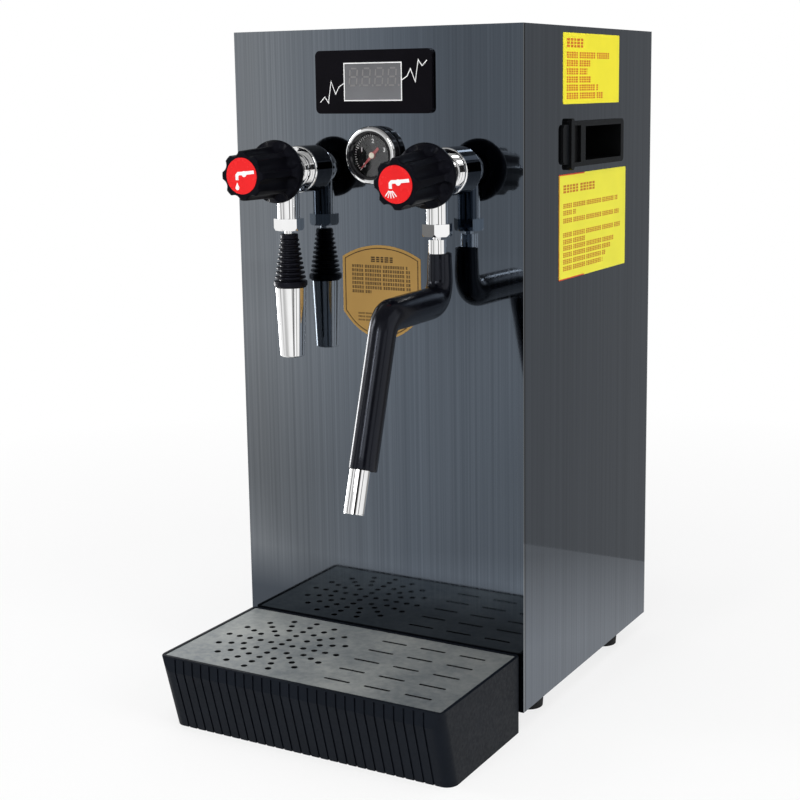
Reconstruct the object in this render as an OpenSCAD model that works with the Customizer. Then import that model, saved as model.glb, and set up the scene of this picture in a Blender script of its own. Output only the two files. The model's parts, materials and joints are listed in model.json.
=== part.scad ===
// Counter-top hot water and steam boiler with two taps, a steam wand and a drip tray.
// Millimetres, +Z up, front towards -Y. The origin is the centre of the footprint on the counter.

/* [Case] */
// Outside width of the case
case_w = 250; // [240:1:300]
// Depth of the case from front panel to back panel
case_d = 255; // [245:1:320]
// Height of the case without its feet
case_h = 515; // [500:1:600]
// Thickness of the sheet metal
sheet_t = 1.5; // [1:0.1:2.5]
// Height of the folded edges of the base plate and top cover
fold_h = 14; // [12:1:25]

/* [Feet] */
// Height of the rubber feet
foot_h = 15; // [12:1:30]
// Diameter of the rubber feet
foot_d = 26; // [20:1:34]
// Distance of a foot's centre from the case's side
foot_inset_x = 20; // [18:1:40]
// Distance of a foot's centre from the case's front or back
foot_inset_y = 50; // [30:1:70]
// Diameter of the foot bolts
foot_bolt_d = 4; // [3:0.5:6]

/* [Front layout] */
// Sideways offset of the display and gauge from the middle of the case
front_x = 2.5; // [0:0.5:6]
// Distance of the display's centre below the case's top
display_drop = 39.5; // [35:0.5:45]
// Distance of the gauge's centre below the case's top
gauge_drop = 94; // [90:0.5:96]
// Distance of the tap inlets below the case's top
tap_drop = 105; // [100:0.5:110]
// Distance between the two taps
tap_spacing = 129; // [110:1:150]
// Middle of the two taps, to the right of the middle of the case
tap_x = 3.5; // [0:0.5:6]

/* [Display] */
// Width of the display's front plate
display_w = 101; // [80:1:120]
// Height of the display's front plate
display_h = 47; // [40:1:60]
// How far the display stands proud of the panel
display_proud = 3; // [2:0.5:6]
// Width of the window
window_w = 49; // [30:1:70]
// Height of the window
window_h = 27; // [20:1:32]
// Depth of the display's housing behind the panel
display_depth = 14; // [10:1:25]

/* [Gauge] */
// Diameter of the gauge's bezel
gauge_d = 43.5; // [40:0.5:50]
// How far the gauge stands proud of the panel
gauge_proud = 9.5; // [8:0.5:14]
// Depth of the gauge's case behind the panel
gauge_depth = 28; // [20:1:40]
// Angle of the needle at rest, counted from level right as seen from the front
needle_angle = 225; // [200:1:250]

/* [Tap bodies] */
// Distance of a tap's outlet from the panel
tap_reach = 25; // [23:0.5:32]
// Diameter of the flange against the panel
tap_flange_d = 36; // [30:0.5:40]
// Diameter of the tap's barrel
tap_barrel_d = 23; // [21:0.5:26]
// Diameter of the down pipe
tap_pipe_d = 17; // [15:0.5:18]
// Diameter of the threaded tail
tap_tail_d = 16; // [14:0.5:18]
// Length of the threaded tail behind the panel
tap_tail_l = 22; // [18:1:35]
// Diameter of the waterway
tap_bore_d = 8; // [6:0.5:9]
// Diameter of the valve chamber
chamber_d = 14; // [12:0.5:16]
// Nose-down lean of the hot water valve
water_droop = 1; // [0:0.5:6]
// Nose-down lean of the steam valve
steam_droop = 4.5; // [0:0.5:6]
// Lift of a valve plug from its seat at full opening
valve_lift = 1.2; // [0.5:0.1:2]
// Diameter of the valve spindles
spindle_d = 8; // [6:0.5:9]

/* [Knobs] */
// Clearance between the knob's collar and the tap's down pipe
collar_gap = 2; // [1.8:0.1:6]
// Diameter of the collar
collar_d = 47.5; // [42:0.5:52]
// Diameter of the grip next to the collar
grip_d = 38.5; // [35:0.5:42]
// Diameter of the grip at its face
grip_face_d = 36.4; // [34:0.2:40]
// Length of the whole knob
knob_l = 49; // [42:1:60]
// Number of flutes
flute_count = 8; // [6:1:12]
// Depth of a flute
flute_depth = 2.4; // [1:0.1:3]
// Diameter of the red badge
badge_d = 26.6; // [20:0.2:28]

/* [Unions] */
// Size of the union nuts across their flats
nut_af = 20; // [19:0.5:24]
// Height of the union nuts
nut_h = 9; // [8:0.5:12]
// Length of the down pipe from the tap's inlet axis to the union nut
pipe_drop = 36.5; // [32:0.5:41]
// Diameter of the pipes in the union nuts
neck_d = 7; // [6:0.5:8]

/* [Spout] */
// Length of bare pipe between the union nut and the ribbed boot
boot_drop = 2.7; // [1:0.1:6]
// Height of the ribbed boot
boot_h = 40.2; // [35:0.1:60]
// Diameter of the boot at its top
boot_top_d = 13.5; // [12:0.5:16]
// Diameter of the boot at its bottom
boot_bottom_d = 26; // [22:0.5:30]
// Number of ribs
rib_count = 9; // [5:1:12]
// Depth of the groove between two ribs at the bottom
rib_depth = 3.6; // [1.5:0.1:4]
// Diameter of the nozzle at its top
nozzle_top_d = 23.8; // [20:0.2:25]
// Diameter of the nozzle at its mouth
nozzle_mouth_d = 19; // [15:0.2:20]
// Height of the nozzle
nozzle_h = 55; // [40:0.5:70]
// Wall of the nozzle
nozzle_wall = 1.8; // [1:0.1:3]

/* [Steam wand] */
// Outward turn of the wand at rest
wand_turn = 2; // [0:1:15]
// Diameter of the black sleeve
sleeve_d = 19.6; // [17:0.2:23]
// How far the loose sleeve sits behind the pipe
sleeve_sag = 3.6; // [2:0.1:4]
// Length of bare pipe between the union nut and the ferrule
ferrule_drop = 2.4; // [1:0.1:6]
// Diameter of the ferrule
ferrule_d = 13.4; // [10:0.1:15]
// Length of the ferrule
ferrule_l = 10.1; // [6:0.1:16]
// Straight length of the sleeve above the first bend
sleeve_neck_l = 18.5; // [10:0.5:30]
// Radius of the first bend of the pipe
first_bend_r = 15; // [14:0.5:20]
// Length of the forward arm
arm_l = 57.5; // [40:0.5:80]
// Radius of the second bend of the pipe
second_bend_r = 17.6; // [17:0.2:24]
// Forward lean of the lower part from upright
wand_lean = 18.9; // [5:0.1:30]
// Length of the sleeve below the second bend
lower_l = 94; // [70:0.1:110]
// Diameter of the steam tip
tip_d = 14.4; // [12:0.2:16]
// Length of the steam tip
tip_l = 30; // [20:1:40]

/* [Drip tray] */
// Distance of the tray's sides inside the case's sides
tray_inset = 2.5; // [0:0.5:25]
// Depth of the tray
tray_d = 125; // [100:1:150]
// Height of the tray's rim
tray_h = 61; // [50:1:75]
// Height of the upright band under the front rim
tray_band_h = 12; // [8:1:20]
// How far the front slopes back towards the counter
tray_slope = 14; // [5:1:20]
// Wall of the tray
tray_wall = 2.5; // [2:0.1:4]
// Width of the rim around the grille
rim_w = 2.6; // [2:0.1:5]
// Radius of the rim's front corners
tray_corner_r = 3; // [1:0.5:6]
// Radius of the corners between the sloping front and the sides
tray_foot_r = 9; // [4:1:14]
// Room between the outer grooves and the tray's sides
groove_margin = 11; // [8:1:20]
// Spacing of the grooves on the front
groove_pitch = 8; // [5:0.5:14]
// Width of a groove
groove_w = 1.5; // [0.8:0.1:2.5]
// Depth of a groove
groove_depth = 1; // [0.5:0.1:1.4]
// Gap between the tray and the front panel
tray_gap = 0.6; // [0.3:0.1:0.9]

/* [Grille] */
// Thickness of the grille plate
grille_t = 1; // [0.8:0.1:3]
// Diameter of the drain holes
drain_hole_d = 5; // [3:0.1:6]
// Spacing of the rings of drain holes
ring_pitch = 10; // [8:0.5:10.5]
// Length of a drain slot
slot_l = 22; // [10:1:30]
// Width of a drain slot
slot_w = 2.4; // [1:0.1:4]
// Sideways spacing of the slots
slot_pitch_x = 34; // [30:1:36]
// Spacing of the slot rows
slot_pitch_y = 21; // [12:0.5:23]

/* [Hand cups] */
// Length of a hand cup's flange
cup_l = 119; // [115:1:130]
// Height of a hand cup's flange
cup_h = 34.5; // [30:0.5:45]
// How far a flange stands proud of the side panel
cup_proud = 4; // [2:0.5:6]
// Distance of the flange's front end from the front panel
cup_y = 66; // [50:1:80]
// Distance of the hand cup's centre below the case's top
cup_drop = 88.2; // [80:0.1:95]
// Length of the finger pocket
pocket_l = 73; // [60:1:75]
// Height of the finger pocket
pocket_h = 26; // [20:0.5:30]
// Depth of the finger pocket
pocket_depth = 30; // [20:1:36]
// Wall of the finger pocket
pocket_wall = 2; // [1.5:0.1:3]

/* [Boiler] */
// Outside diameter of the tank
tank_d = 176; // [172:1:180]
// Room between the tank's lid and the case's top
head_room = 145; // [130:1:180]
// Height of the tank's bottom above the counter
tank_z = 105; // [90:1:110]
// Gap between the tank's rim and the back panel
tank_back_gap = 13.5; // [8:0.5:18]
// Wall of the tank
tank_wall = 2; // [1.5:0.1:3]
// Width of the tank's rim flange
tank_rim = 10; // [8:1:12]
// Thickness of the lid and of the rim flange
lid_t = 5; // [3:0.5:8]
// Diameter of the water and steam pipes
draw_pipe_d = 10; // [8:0.5:12]
// Distance of the pipes' down legs in front of the tank's axis
draw_pipe_inset = 30; // [24:1:37]
// Diameter of the gauge pipe
gauge_pipe_d = 4; // [3:0.5:6]
// Diameter of the heater's tubes
heater_d = 8; // [6:0.5:10]
// Length of the heater in the tank
heater_l = 170; // [100:5:200]

/* [Feed and controls] */
// Distance of the pump and inlet from the case's side
feed_inset = 30; // [28:1:32]
// Diameter of the feed pump
pump_d = 44; // [36:1:48]
// Length of the feed pump
pump_l = 90; // [70:1:95]
// Length of the control board
board_l = 100; // [80:1:120]
// Height of the control board
board_h = 140; // [100:1:160]

/* [Rear fittings] */
// Outside diameter of the water inlet's thread
inlet_d = 20.9; // [16:0.1:26]
// Length of the water inlet behind the case
inlet_l = 18; // [12:1:24]
// Height of the water inlet above the counter
inlet_z = 64; // [60:1:80]
// Outside diameter of the drain outlet
drain_d = 16; // [12:0.5:20]
// Length of the drain outlet behind the case
drain_l = 25; // [15:1:40]
// Diameter of the cable that the gland takes
cable_d = 10; // [6:0.5:12]
// Length of the gland behind the case
gland_l = 20; // [14:1:24]
// Width of the power switch
switch_w = 30; // [24:1:36]
// Height of the power switch
switch_h = 22; // [18:1:28]
// Throw of the power switch
switch_throw = 16; // [8:1:20]

/* [Clearances] */
// Clearance all round a piece that sits in a hole of another
fit_gap = 0.1; // [0.05:0.01:0.2]
// Radial clearance of a turning or sliding fit
run_gap = 0.06; // [0.03:0.01:0.1]
// Clearance of a piece that drops into a panel's cut-out
cutout_gap = 0.25; // [0.1:0.05:0.5]

/* [Hidden] */
$fn = 64;

eps = 1;
top_z = foot_h + case_h;
floor_z = foot_h + sheet_t;
inner_w = case_w - 2 * sheet_t;
inner_d = case_d - 2 * sheet_t;
mid_y = case_d / 2;
water_x = tap_x - tap_spacing / 2;
steam_x = tap_x + tap_spacing / 2;

// Heights above the counter
display_z = top_z - display_drop;
gauge_z = top_z - gauge_drop;
tap_z = top_z - tap_drop;
cup_z = top_z - cup_drop;
nut_top_z = tap_z - pipe_drop;
nut_bottom_z = nut_top_z - nut_h;
boot_top_z = nut_bottom_z - boot_drop;
boot_bottom_z = boot_top_z - boot_h;
nozzle_mouth_z = boot_bottom_z - nozzle_h;
sleeve_top_z = nut_bottom_z - ferrule_drop - ferrule_l;
bend_z = sleeve_top_z - sleeve_neck_l;

// Wand path in its own plane, as forward reach and height
arm_z = bend_z - first_bend_r;
second_bend_y = first_bend_r + arm_l;
second_bend_z = arm_z - second_bend_r;
second_turn = 90 - wand_lean;
lower_y = second_bend_y + second_bend_r * cos(wand_lean);
lower_z = second_bend_z + second_bend_r * sin(wand_lean);
tip_reach = lower_y + (lower_l + tip_l) * sin(wand_lean);
tip_edge = tip_d / 2 * sqrt(1 - pow(sin(wand_lean) * cos(wand_turn), 2));

// The origin lies midway between the wand's tip, or the tray, and the longest rear fitting
front_reach = max(tap_reach + tip_reach * cos(wand_turn) + tip_edge, tray_gap + tray_d);
rear_reach = case_d + max(inlet_l, drain_l, gland_l);
origin_y = (rear_reach - front_reach) / 2;

module placed() {
  translate([0, -origin_y, 0]) children();
}

// Turns +Z to face the front
module forward() {
  rotate([90, 0, 0]) children();
}

// Turns +Z to face the back
module backward() {
  rotate([-90, 0, 0]) children();
}

module rounded_rect(w, h, r) {
  square([w - 2 * r, h], center = true);
  square([w, h - 2 * r], center = true);
  for (sx = [-1, 1], sy = [-1, 1])
    translate([sx * (w / 2 - r), sy * (h / 2 - r)]) circle(r);
}

module hex_bar(across_flats, h) {
  cylinder(d = across_flats / cos(30), h = h, $fn = 6);
}

module ring(outer_d, inner_d, h) {
  difference() {
    cylinder(d = outer_d, h = h);
    translate([0, 0, -eps]) cylinder(d = inner_d, h = h + 2 * eps);
  }
}

function arc(cx, cy, r, a0, a1, n) =
  [for (i = [0 : n]) let (a = a0 + (a1 - a0) * i / n) [cx + r * cos(a), cy + r * sin(a)]];

// Case

foot_places = [for (sx = [-1, 1], sy = [-1, 1])
  [sx * (case_w / 2 - foot_inset_x), mid_y + sy * (case_d / 2 - foot_inset_y)]];
foot_hole_d = foot_bolt_d + 2 * fit_gap;
bolt_head_d = 2 * foot_bolt_d;
bolt_head_h = 0.7 * foot_bolt_d;
bolt_recess = 2 * bolt_head_h;
foot_taper = 2;
recess_gap = 1;

module base_plate() {
  placed() color("dimgray") difference() {
    union() {
      translate([-inner_w / 2, sheet_t, foot_h]) cube([inner_w, inner_d, sheet_t]);
      for (sx = [-1, 1])
        translate([sx * (inner_w - sheet_t) / 2 - sheet_t / 2, sheet_t, foot_h])
          cube([sheet_t, inner_d, fold_h]);
      for (y = [sheet_t, case_d - 2 * sheet_t])
        translate([-inner_w / 2, y, foot_h]) cube([inner_w, sheet_t, fold_h]);
    }
    for (p = foot_places)
      translate([p[0], p[1], foot_h - eps]) cylinder(d = foot_hole_d, h = sheet_t + 2 * eps);
    for (x = screw_xs)
      translate([x, case_d + eps, foot_h + screw_edge]) forward() cylinder(d = screw_hole_d, h = 3 * sheet_t);
  }
}

module rubber_feet() {
  placed() color("#141414") for (p = foot_places)
    translate([p[0], p[1], 0]) difference() {
      cylinder(d1 = foot_d - foot_taper, d2 = foot_d, h = foot_h);
      translate([0, 0, -eps]) cylinder(d = bolt_head_d + 2 * recess_gap, h = bolt_recess + eps);
      translate([0, 0, -eps]) cylinder(d = foot_hole_d, h = foot_h + 2 * eps);
    }
}

foot_nut_h = 0.8 * foot_bolt_d;
foot_bolt_end = 1;

module foot_bolts() {
  placed() color("silver") for (p = foot_places)
    translate([p[0], p[1], 0]) {
      translate([0, 0, bolt_recess - bolt_head_h]) cylinder(d = bolt_head_d, h = bolt_head_h);
      translate([0, 0, bolt_recess - bolt_head_h])
        cylinder(d = foot_bolt_d, h = floor_z + foot_nut_h + foot_bolt_end - bolt_recess + bolt_head_h);
      translate([0, 0, floor_z]) hex_bar(1.75 * foot_bolt_d, foot_nut_h);
    }
}

tail_hole_d = tap_tail_d + 2 * cutout_gap;
bezel_w = 3.25;
gauge_case_d = gauge_d - 2 * bezel_w;
display_lip = 3.5;
display_back_w = display_w - 2 * display_lip;
display_back_h = display_h - 2 * display_lip;

module front_panel() {
  placed() color("#3c4248") difference() {
    translate([-case_w / 2, 0, foot_h]) cube([case_w, sheet_t, case_h]);
    translate([front_x, sheet_t + eps, display_z]) forward() linear_extrude(sheet_t + 2 * eps)
      square([display_back_w + 2 * cutout_gap, display_back_h + 2 * cutout_gap], center = true);
    translate([front_x, sheet_t + eps, gauge_z]) forward()
      cylinder(d = gauge_case_d + 2 * cutout_gap, h = sheet_t + 2 * eps);
    for (x = [water_x, steam_x])
      translate([x, sheet_t + eps, tap_z]) forward() cylinder(d = tail_hole_d, h = sheet_t + 2 * eps);
  }
}

cup_tub_l = pocket_l + 2 * pocket_wall;
cup_tub_h = pocket_h + 2 * pocket_wall;
cup_end_margin = 6;
pocket_y = cup_y + cup_l - cup_end_margin - pocket_l / 2;

module side_panel() {
  difference() {
    translate([case_w / 2 - sheet_t, sheet_t, foot_h]) cube([sheet_t, inner_d, case_h]);
    translate([case_w / 2 - sheet_t - eps, pocket_y, cup_z]) rotate([90, 0, 90])
      linear_extrude(sheet_t + 2 * eps)
        square([cup_tub_l + 2 * cutout_gap, cup_tub_h + 2 * cutout_gap], center = true);
  }
}

module right_side_panel() {
  placed() color("#33383c") side_panel();
}

module left_side_panel() {
  placed() color("#33383c") mirror([1, 0, 0]) side_panel();
}

screw_d = 3.5;
screw_head_d = 7;
screw_head_h = 2.4;
screw_l = 9;
screw_hole_d = screw_d + 2 * fit_gap;
screw_edge = fold_h / 2;
screw_inset = 25;
screw_xs = [-case_w / 2 + screw_inset, 0, case_w / 2 - screw_inset];
screw_zs = [foot_h + screw_edge, top_z - screw_edge];

inlet_x = case_w / 2 - feed_inset;
drain_x = -inlet_x;
drain_z = inlet_z;
gland_wall = 5;
gland_d = cable_d + 2 * gland_wall;
gland_shift = 20;
gland_x = -case_w / 2 + feed_inset + gland_shift;
gland_rise = 60;
gland_z = inlet_z + gland_rise;
switch_lip = 2;
switch_body_w = switch_w - 2 * switch_lip;
switch_body_h = switch_h - 2 * switch_lip;
switch_shift = 25;
switch_x = case_w / 2 - feed_inset - switch_shift;
switch_z = gland_z;
vent_l = 90;
vent_w = 4;
vent_pitch = 12;
vent_count = 9;
vent_drop = 150;
vent_z = top_z - vent_drop;

module vent_slot() {
  square([vent_l - vent_w, vent_w], center = true);
  for (sx = [-1, 1])
    translate([sx * (vent_l - vent_w) / 2, 0]) circle(d = vent_w);
}

module back_panel() {
  placed() color("#33383c") difference() {
    translate([-case_w / 2, case_d - sheet_t, foot_h]) cube([case_w, sheet_t, case_h]);
    translate([0, case_d + eps, 0]) forward() linear_extrude(sheet_t + 2 * eps) {
      for (x = screw_xs, z = screw_zs)
        translate([x, z]) circle(d = screw_hole_d);
      for (i = [0 : vent_count - 1])
        translate([0, vent_z - i * vent_pitch]) vent_slot();
      translate([inlet_x, inlet_z]) circle(d = inlet_d + 2 * cutout_gap);
      translate([drain_x, drain_z]) circle(d = drain_d + 2 * cutout_gap);
      translate([gland_x, gland_z]) circle(d = gland_d + 2 * cutout_gap);
      translate([switch_x, switch_z])
        square([switch_body_w + 2 * cutout_gap, switch_body_h + 2 * cutout_gap], center = true);
    }
  }
}

module top_cover() {
  placed() color("#33383c") difference() {
    union() {
      translate([-inner_w / 2, sheet_t, top_z - sheet_t]) cube([inner_w, inner_d, sheet_t]);
      for (sx = [-1, 1])
        translate([sx * (inner_w - sheet_t) / 2 - sheet_t / 2, sheet_t, top_z - fold_h])
          cube([sheet_t, inner_d, fold_h]);
      for (y = [sheet_t, case_d - 2 * sheet_t])
        translate([-inner_w / 2, y, top_z - fold_h]) cube([inner_w, sheet_t, fold_h]);
    }
    for (x = screw_xs)
      translate([x, case_d + eps, top_z - screw_edge]) forward() cylinder(d = screw_hole_d, h = 3 * sheet_t);
  }
}

module case_screws() {
  placed() color("silver") for (x = screw_xs, z = screw_zs)
    translate([x, case_d, z]) {
      backward() cylinder(d = screw_head_d, h = screw_head_h);
      forward() cylinder(d = screw_d, h = screw_l);
    }
}

// Hand cups, drawn on the right side

cup_r = 4;
cup_tab_l = 11;
cup_tab_drop = 2.3;
cup_tab_t = 2;
cup_lip_rise = 0.8;
cup_face_t = cup_proud - cup_lip_rise;
cup_lip_w = 6;
cup_lip_r = 2.8;
cup_lip_over = 2.2;
ridge_w = 9;
step_start = cup_y + cup_tab_l + cup_lip_w;
step_l = pocket_y - pocket_l / 2 - ridge_w - step_start;
step_depth = 2.4;

module hand_cup() {
  translate([case_w / 2, 0, cup_z]) rotate([90, 0, 90]) difference() {
    union() {
      translate([cup_y + cup_l / 2, 0, 0]) linear_extrude(cup_tab_t)
        rounded_rect(cup_l, cup_h - 2 * cup_tab_drop, cup_r);
      translate([cup_y + (cup_l + cup_tab_l) / 2, 0, 0]) linear_extrude(cup_face_t)
        rounded_rect(cup_l - cup_tab_l, cup_h, cup_r);
      translate([cup_y + cup_tab_l + cup_lip_w / 2, 0, 0]) linear_extrude(cup_proud)
        rounded_rect(cup_lip_w, cup_h + 2 * cup_lip_over, cup_lip_r);
      translate([pocket_y, 0, -pocket_depth]) linear_extrude(pocket_depth)
        square([cup_tub_l, cup_tub_h], center = true);
    }
    translate([pocket_y, 0, -pocket_depth + pocket_wall]) linear_extrude(pocket_depth + cup_proud)
      square([pocket_l, pocket_h], center = true);
    translate([step_start + step_l / 2, 0, cup_face_t - step_depth]) linear_extrude(step_depth + eps)
      square([step_l, pocket_h + 2], center = true);
  }
}

module right_hand_cup() {
  placed() color("#17181a") hand_cup();
}

module left_hand_cup() {
  placed() color("#17181a") mirror([1, 0, 0]) hand_cup();
}

// Display

display_r = 4;
display_wall = 1.5;
board_room_w = display_back_w - 2 * display_wall;
board_room_h = display_back_h - 2 * display_wall;
window_t = 1.6;
window_recess = 0.2;
window_back_z = display_proud - window_recess - window_t;
screen_edge = 1;
pcb_t = 1.6;

module at_display() {
  placed() translate([front_x, 0, display_z]) forward() children();
}

module display_bezel() {
  at_display() color("#0d0d0e") difference() {
    union() {
      linear_extrude(display_proud) rounded_rect(display_w, display_h, display_r);
      translate([0, 0, -display_depth]) linear_extrude(display_depth)
        square([display_back_w, display_back_h], center = true);
    }
    translate([0, 0, -display_depth - eps]) linear_extrude(display_depth + eps)
      square([board_room_w, board_room_h], center = true);
    translate([0, 0, -eps]) linear_extrude(display_proud + 2 * eps)
      square([window_w, window_h], center = true);
  }
}

module display_window() {
  at_display() color("#5b5f60") translate([0, 0, window_back_z]) linear_extrude(window_t)
    square([window_w - 2 * fit_gap, window_h - 2 * fit_gap], center = true);
}

module display_board() {
  at_display() color("darkgreen") {
    translate([0, 0, -display_depth]) linear_extrude(pcb_t)
      square([board_room_w - 2 * fit_gap, board_room_h - 2 * fit_gap], center = true);
    translate([0, 0, -display_depth + pcb_t])
      linear_extrude(display_depth - pcb_t + window_back_z)
        square([window_w - 2 * screen_edge, window_h - 2 * screen_edge], center = true);
  }
}

// Gauge, drawn with its face towards +Z and the panel at z = 0

gauge_r = gauge_d / 2;
gauge_wall = 1.2;
gauge_seat_h = 2;
dial_t = 0.6;
dial_z = 3;
needle_gap = 0.8;
needle_z = dial_z + dial_t + needle_gap;
needle_t = 0.6;
needle_w = 2.2;
arbor_d = 1.6;
glass_t = 1.4;
glass_recess = 2.6;
glass_z = gauge_proud - glass_recess;
gauge_face_r = gauge_case_d / 2 - gauge_wall;
gauge_stem_d = 10;
gauge_stem_l = 10;
movement_h = 14;
movement_z = -gauge_depth + movement_h;
movement_ledge = 1.5;
arbor_bore_l = 8;
arbor_end_gap = 1;
seat_edge = 0.5;
bezel_edge_r = 2.4;
bezel_lip = 1.6;
bezel_lip_h = 1;
bezel_slope = 0.5;
needle_swell = 0.2;
needle_point_w = 0.5;
needle_margin = 3.5;
hub_h = 0.6;

module at_gauge() {
  placed() translate([front_x, 0, gauge_z]) forward() children();
}

module gauge_case() {
  at_gauge() color("#202224") difference() {
    union() {
      translate([0, 0, -gauge_depth]) cylinder(d = gauge_case_d, h = gauge_depth + glass_z);
      cylinder(d = gauge_d - 2 * seat_edge, h = gauge_seat_h);
      translate([0, 0, -gauge_depth - gauge_stem_l]) cylinder(d = gauge_stem_d, h = gauge_stem_l + eps);
    }
    translate([0, 0, dial_z]) cylinder(r = gauge_face_r, h = gauge_proud);
    translate([0, 0, movement_z]) cylinder(r = gauge_face_r - movement_ledge, h = gauge_depth + gauge_proud);
    translate([0, 0, movement_z - arbor_bore_l]) cylinder(d = arbor_d + 2 * run_gap, h = arbor_bore_l + eps);
  }
}

module gauge_bezel() {
  bore_r = gauge_case_d / 2 + fit_gap;
  lip_r = gauge_face_r - bezel_lip;
  lip_z = glass_z + glass_t + fit_gap;
  at_gauge() color("gainsboro") rotate_extrude() polygon(concat(
    [[bore_r, gauge_seat_h], [gauge_r, gauge_seat_h], [gauge_r, gauge_proud - bezel_edge_r]],
    arc(gauge_r - bezel_edge_r, gauge_proud - bezel_edge_r, bezel_edge_r, 0, 90, 6),
    [[gauge_face_r - bezel_slope, gauge_proud], [lip_r, gauge_proud - bezel_lip_h],
     [lip_r, lip_z], [bore_r, lip_z]]));
}

module gauge_dial() {
  at_gauge() color("#16171a") translate([0, 0, dial_z])
    ring(2 * gauge_face_r - 2 * fit_gap, arbor_d + 2 * run_gap, dial_t);
}

module gauge_needle() {
  point_l = gauge_face_r - needle_margin;
  half_w = needle_w / 2 + needle_swell;
  arbor_z = movement_z - arbor_bore_l + arbor_end_gap;
  tail_l = 0.55 * point_l;
  at_gauge() color("firebrick") rotate([0, 0, needle_angle]) {
    translate([0, 0, needle_z]) linear_extrude(needle_t)
      polygon([[-tail_l, -needle_w / 2], [-tail_l, needle_w / 2], [0, half_w],
        [point_l, needle_point_w / 2], [point_l, -needle_point_w / 2], [0, -half_w]]);
    translate([0, 0, needle_z]) cylinder(d = 2.4 * needle_w, h = needle_t + hub_h);
    translate([0, 0, arbor_z]) cylinder(d = arbor_d, h = needle_z - arbor_z + needle_t);
  }
}

module gauge_glass() {
  at_gauge() color("white", 0.3) translate([0, 0, glass_z])
    cylinder(d = gauge_case_d - 2 * fit_gap, h = glass_t);
}

// Taps. A tap's own frame has its origin where the outlet axis crosses the inlet axis

module at_tap(x) {
  placed() translate([x, -tap_reach, tap_z]) children();
}

// The valve's frame has +Z along the spindle, out of the tap
module at_valve(x, droop) {
  at_tap(x) rotate([droop, 0, 0]) forward() children();
}

flange_h = 12;
flange_edge_r = 1.2;
flange_rim_w = 1.8;
flange_dish = 1.6;
ball_swell = 3;
step_d = tap_flange_d - 9;
step_h = 4;
step_edge_r = 1;
collar_back = tap_pipe_d / 2 + collar_gap;
nose_gap = 1;
tap_nose = collar_back - nose_gap;
seat_depth = 3;
seat_bore_l = 4;
seat_bore_d = tap_bore_d - 2;
spigot_d = 13.6;
lip_h = 2;
head_h = 2;
head_gap = 0.2;
spigot_z = nut_bottom_z + lip_h + head_h + 2 * head_gap;

module tap_body(x, droop) {
  at_tap(x) color("#d8dadc") difference() {
    union() {
      translate([0, tap_reach, 0]) forward() rotate_extrude() polygon(concat(
        [[0, 0], [tap_flange_d / 2, 0]],
        arc(tap_flange_d / 2 - flange_edge_r, flange_h - flange_edge_r, flange_edge_r, 0, 90, 5),
        [[tap_flange_d / 2 - flange_rim_w, flange_h], [tap_flange_d / 2 - flange_rim_w, flange_h - flange_dish],
        [step_d / 2, flange_h - flange_dish]],
        arc(step_d / 2 - step_edge_r, flange_h + step_h - step_edge_r, step_edge_r, 0, 90, 4),
        [[0, flange_h + step_h]]));
      translate([0, tap_reach, 0]) forward() cylinder(d = tap_barrel_d, h = tap_reach);
      sphere(d = tap_barrel_d + ball_swell);
      rotate([droop, 0, 0]) forward() cylinder(d = tap_barrel_d, h = tap_nose);
      translate([0, 0, nut_top_z - tap_z]) cylinder(d = tap_pipe_d, h = tap_z - nut_top_z);
      translate([0, 0, spigot_z - tap_z]) cylinder(d = spigot_d, h = tap_z - spigot_z);
      translate([0, tap_reach - eps, 0]) backward() cylinder(d = tap_tail_d, h = sheet_t + tap_tail_l + eps);
    }
    rotate([droop, 0, 0]) {
      translate([0, -tap_nose, 0]) forward() cylinder(d = tap_barrel_d - ball_swell, h = tap_barrel_d);
      translate([0, seat_depth, 0]) forward() cylinder(d = chamber_d, h = seat_depth + tap_nose + eps);
      backward() cylinder(d = seat_bore_d, h = seat_depth + seat_bore_l + 2 * eps);
    }
    translate([0, seat_depth + seat_bore_l, 0]) backward()
      cylinder(d = tap_bore_d, h = tap_reach + sheet_t + tap_tail_l);
    translate([0, 0, spigot_z - tap_z - eps]) cylinder(d = tap_bore_d, h = tap_z - spigot_z + eps);
  }
}

module water_tap_body() {
  tap_body(water_x, water_droop);
}

module steam_tap_body() {
  tap_body(steam_x, steam_droop);
}

plug_h = 3;
plug_d = chamber_d - 3;
plug_seat_gap = 0.2;
plug_z = plug_seat_gap - seat_depth;
plug_stop_gap = 1.1;
bonnet_z = plug_z + plug_h + valve_lift + plug_stop_gap;
bonnet_out = 16;
bonnet_hex = tap_barrel_d - 4;

module tap_bonnet() {
  color("silver") difference() {
    union() {
      translate([0, 0, bonnet_z]) cylinder(d = chamber_d - 2 * fit_gap, h = tap_nose - bonnet_z + eps);
      translate([0, 0, tap_nose]) hex_bar(bonnet_hex, bonnet_out / 2);
      translate([0, 0, tap_nose]) cylinder(d = spindle_d + 5, h = bonnet_out);
    }
    cylinder(d = spindle_d + 2 * run_gap, h = tap_nose + bonnet_out + eps);
  }
}

module water_tap_bonnet() {
  at_valve(water_x, water_droop) tap_bonnet();
}

module steam_tap_bonnet() {
  at_valve(steam_x, steam_droop) tap_bonnet();
}

plug_stem_d = spindle_d / 2;
plug_stem_l = 6;
plug_end_gap = 0.3;
stem_room = 1;
spindle_z = plug_z + plug_h + valve_lift + plug_end_gap;
knob_face_z = collar_back + knob_l;
hub_top_z = knob_face_z - 7;

module valve_plug() {
  color("#2a2a2c") {
    translate([0, 0, plug_z]) cylinder(d = plug_d, h = plug_h);
    translate([0, 0, plug_z]) cylinder(d = plug_stem_d, h = plug_h + plug_stem_l);
  }
}

module water_valve_plug() {
  at_valve(water_x, water_droop) valve_plug();
}

module steam_valve_plug() {
  at_valve(steam_x, steam_droop) valve_plug();
}

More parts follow.
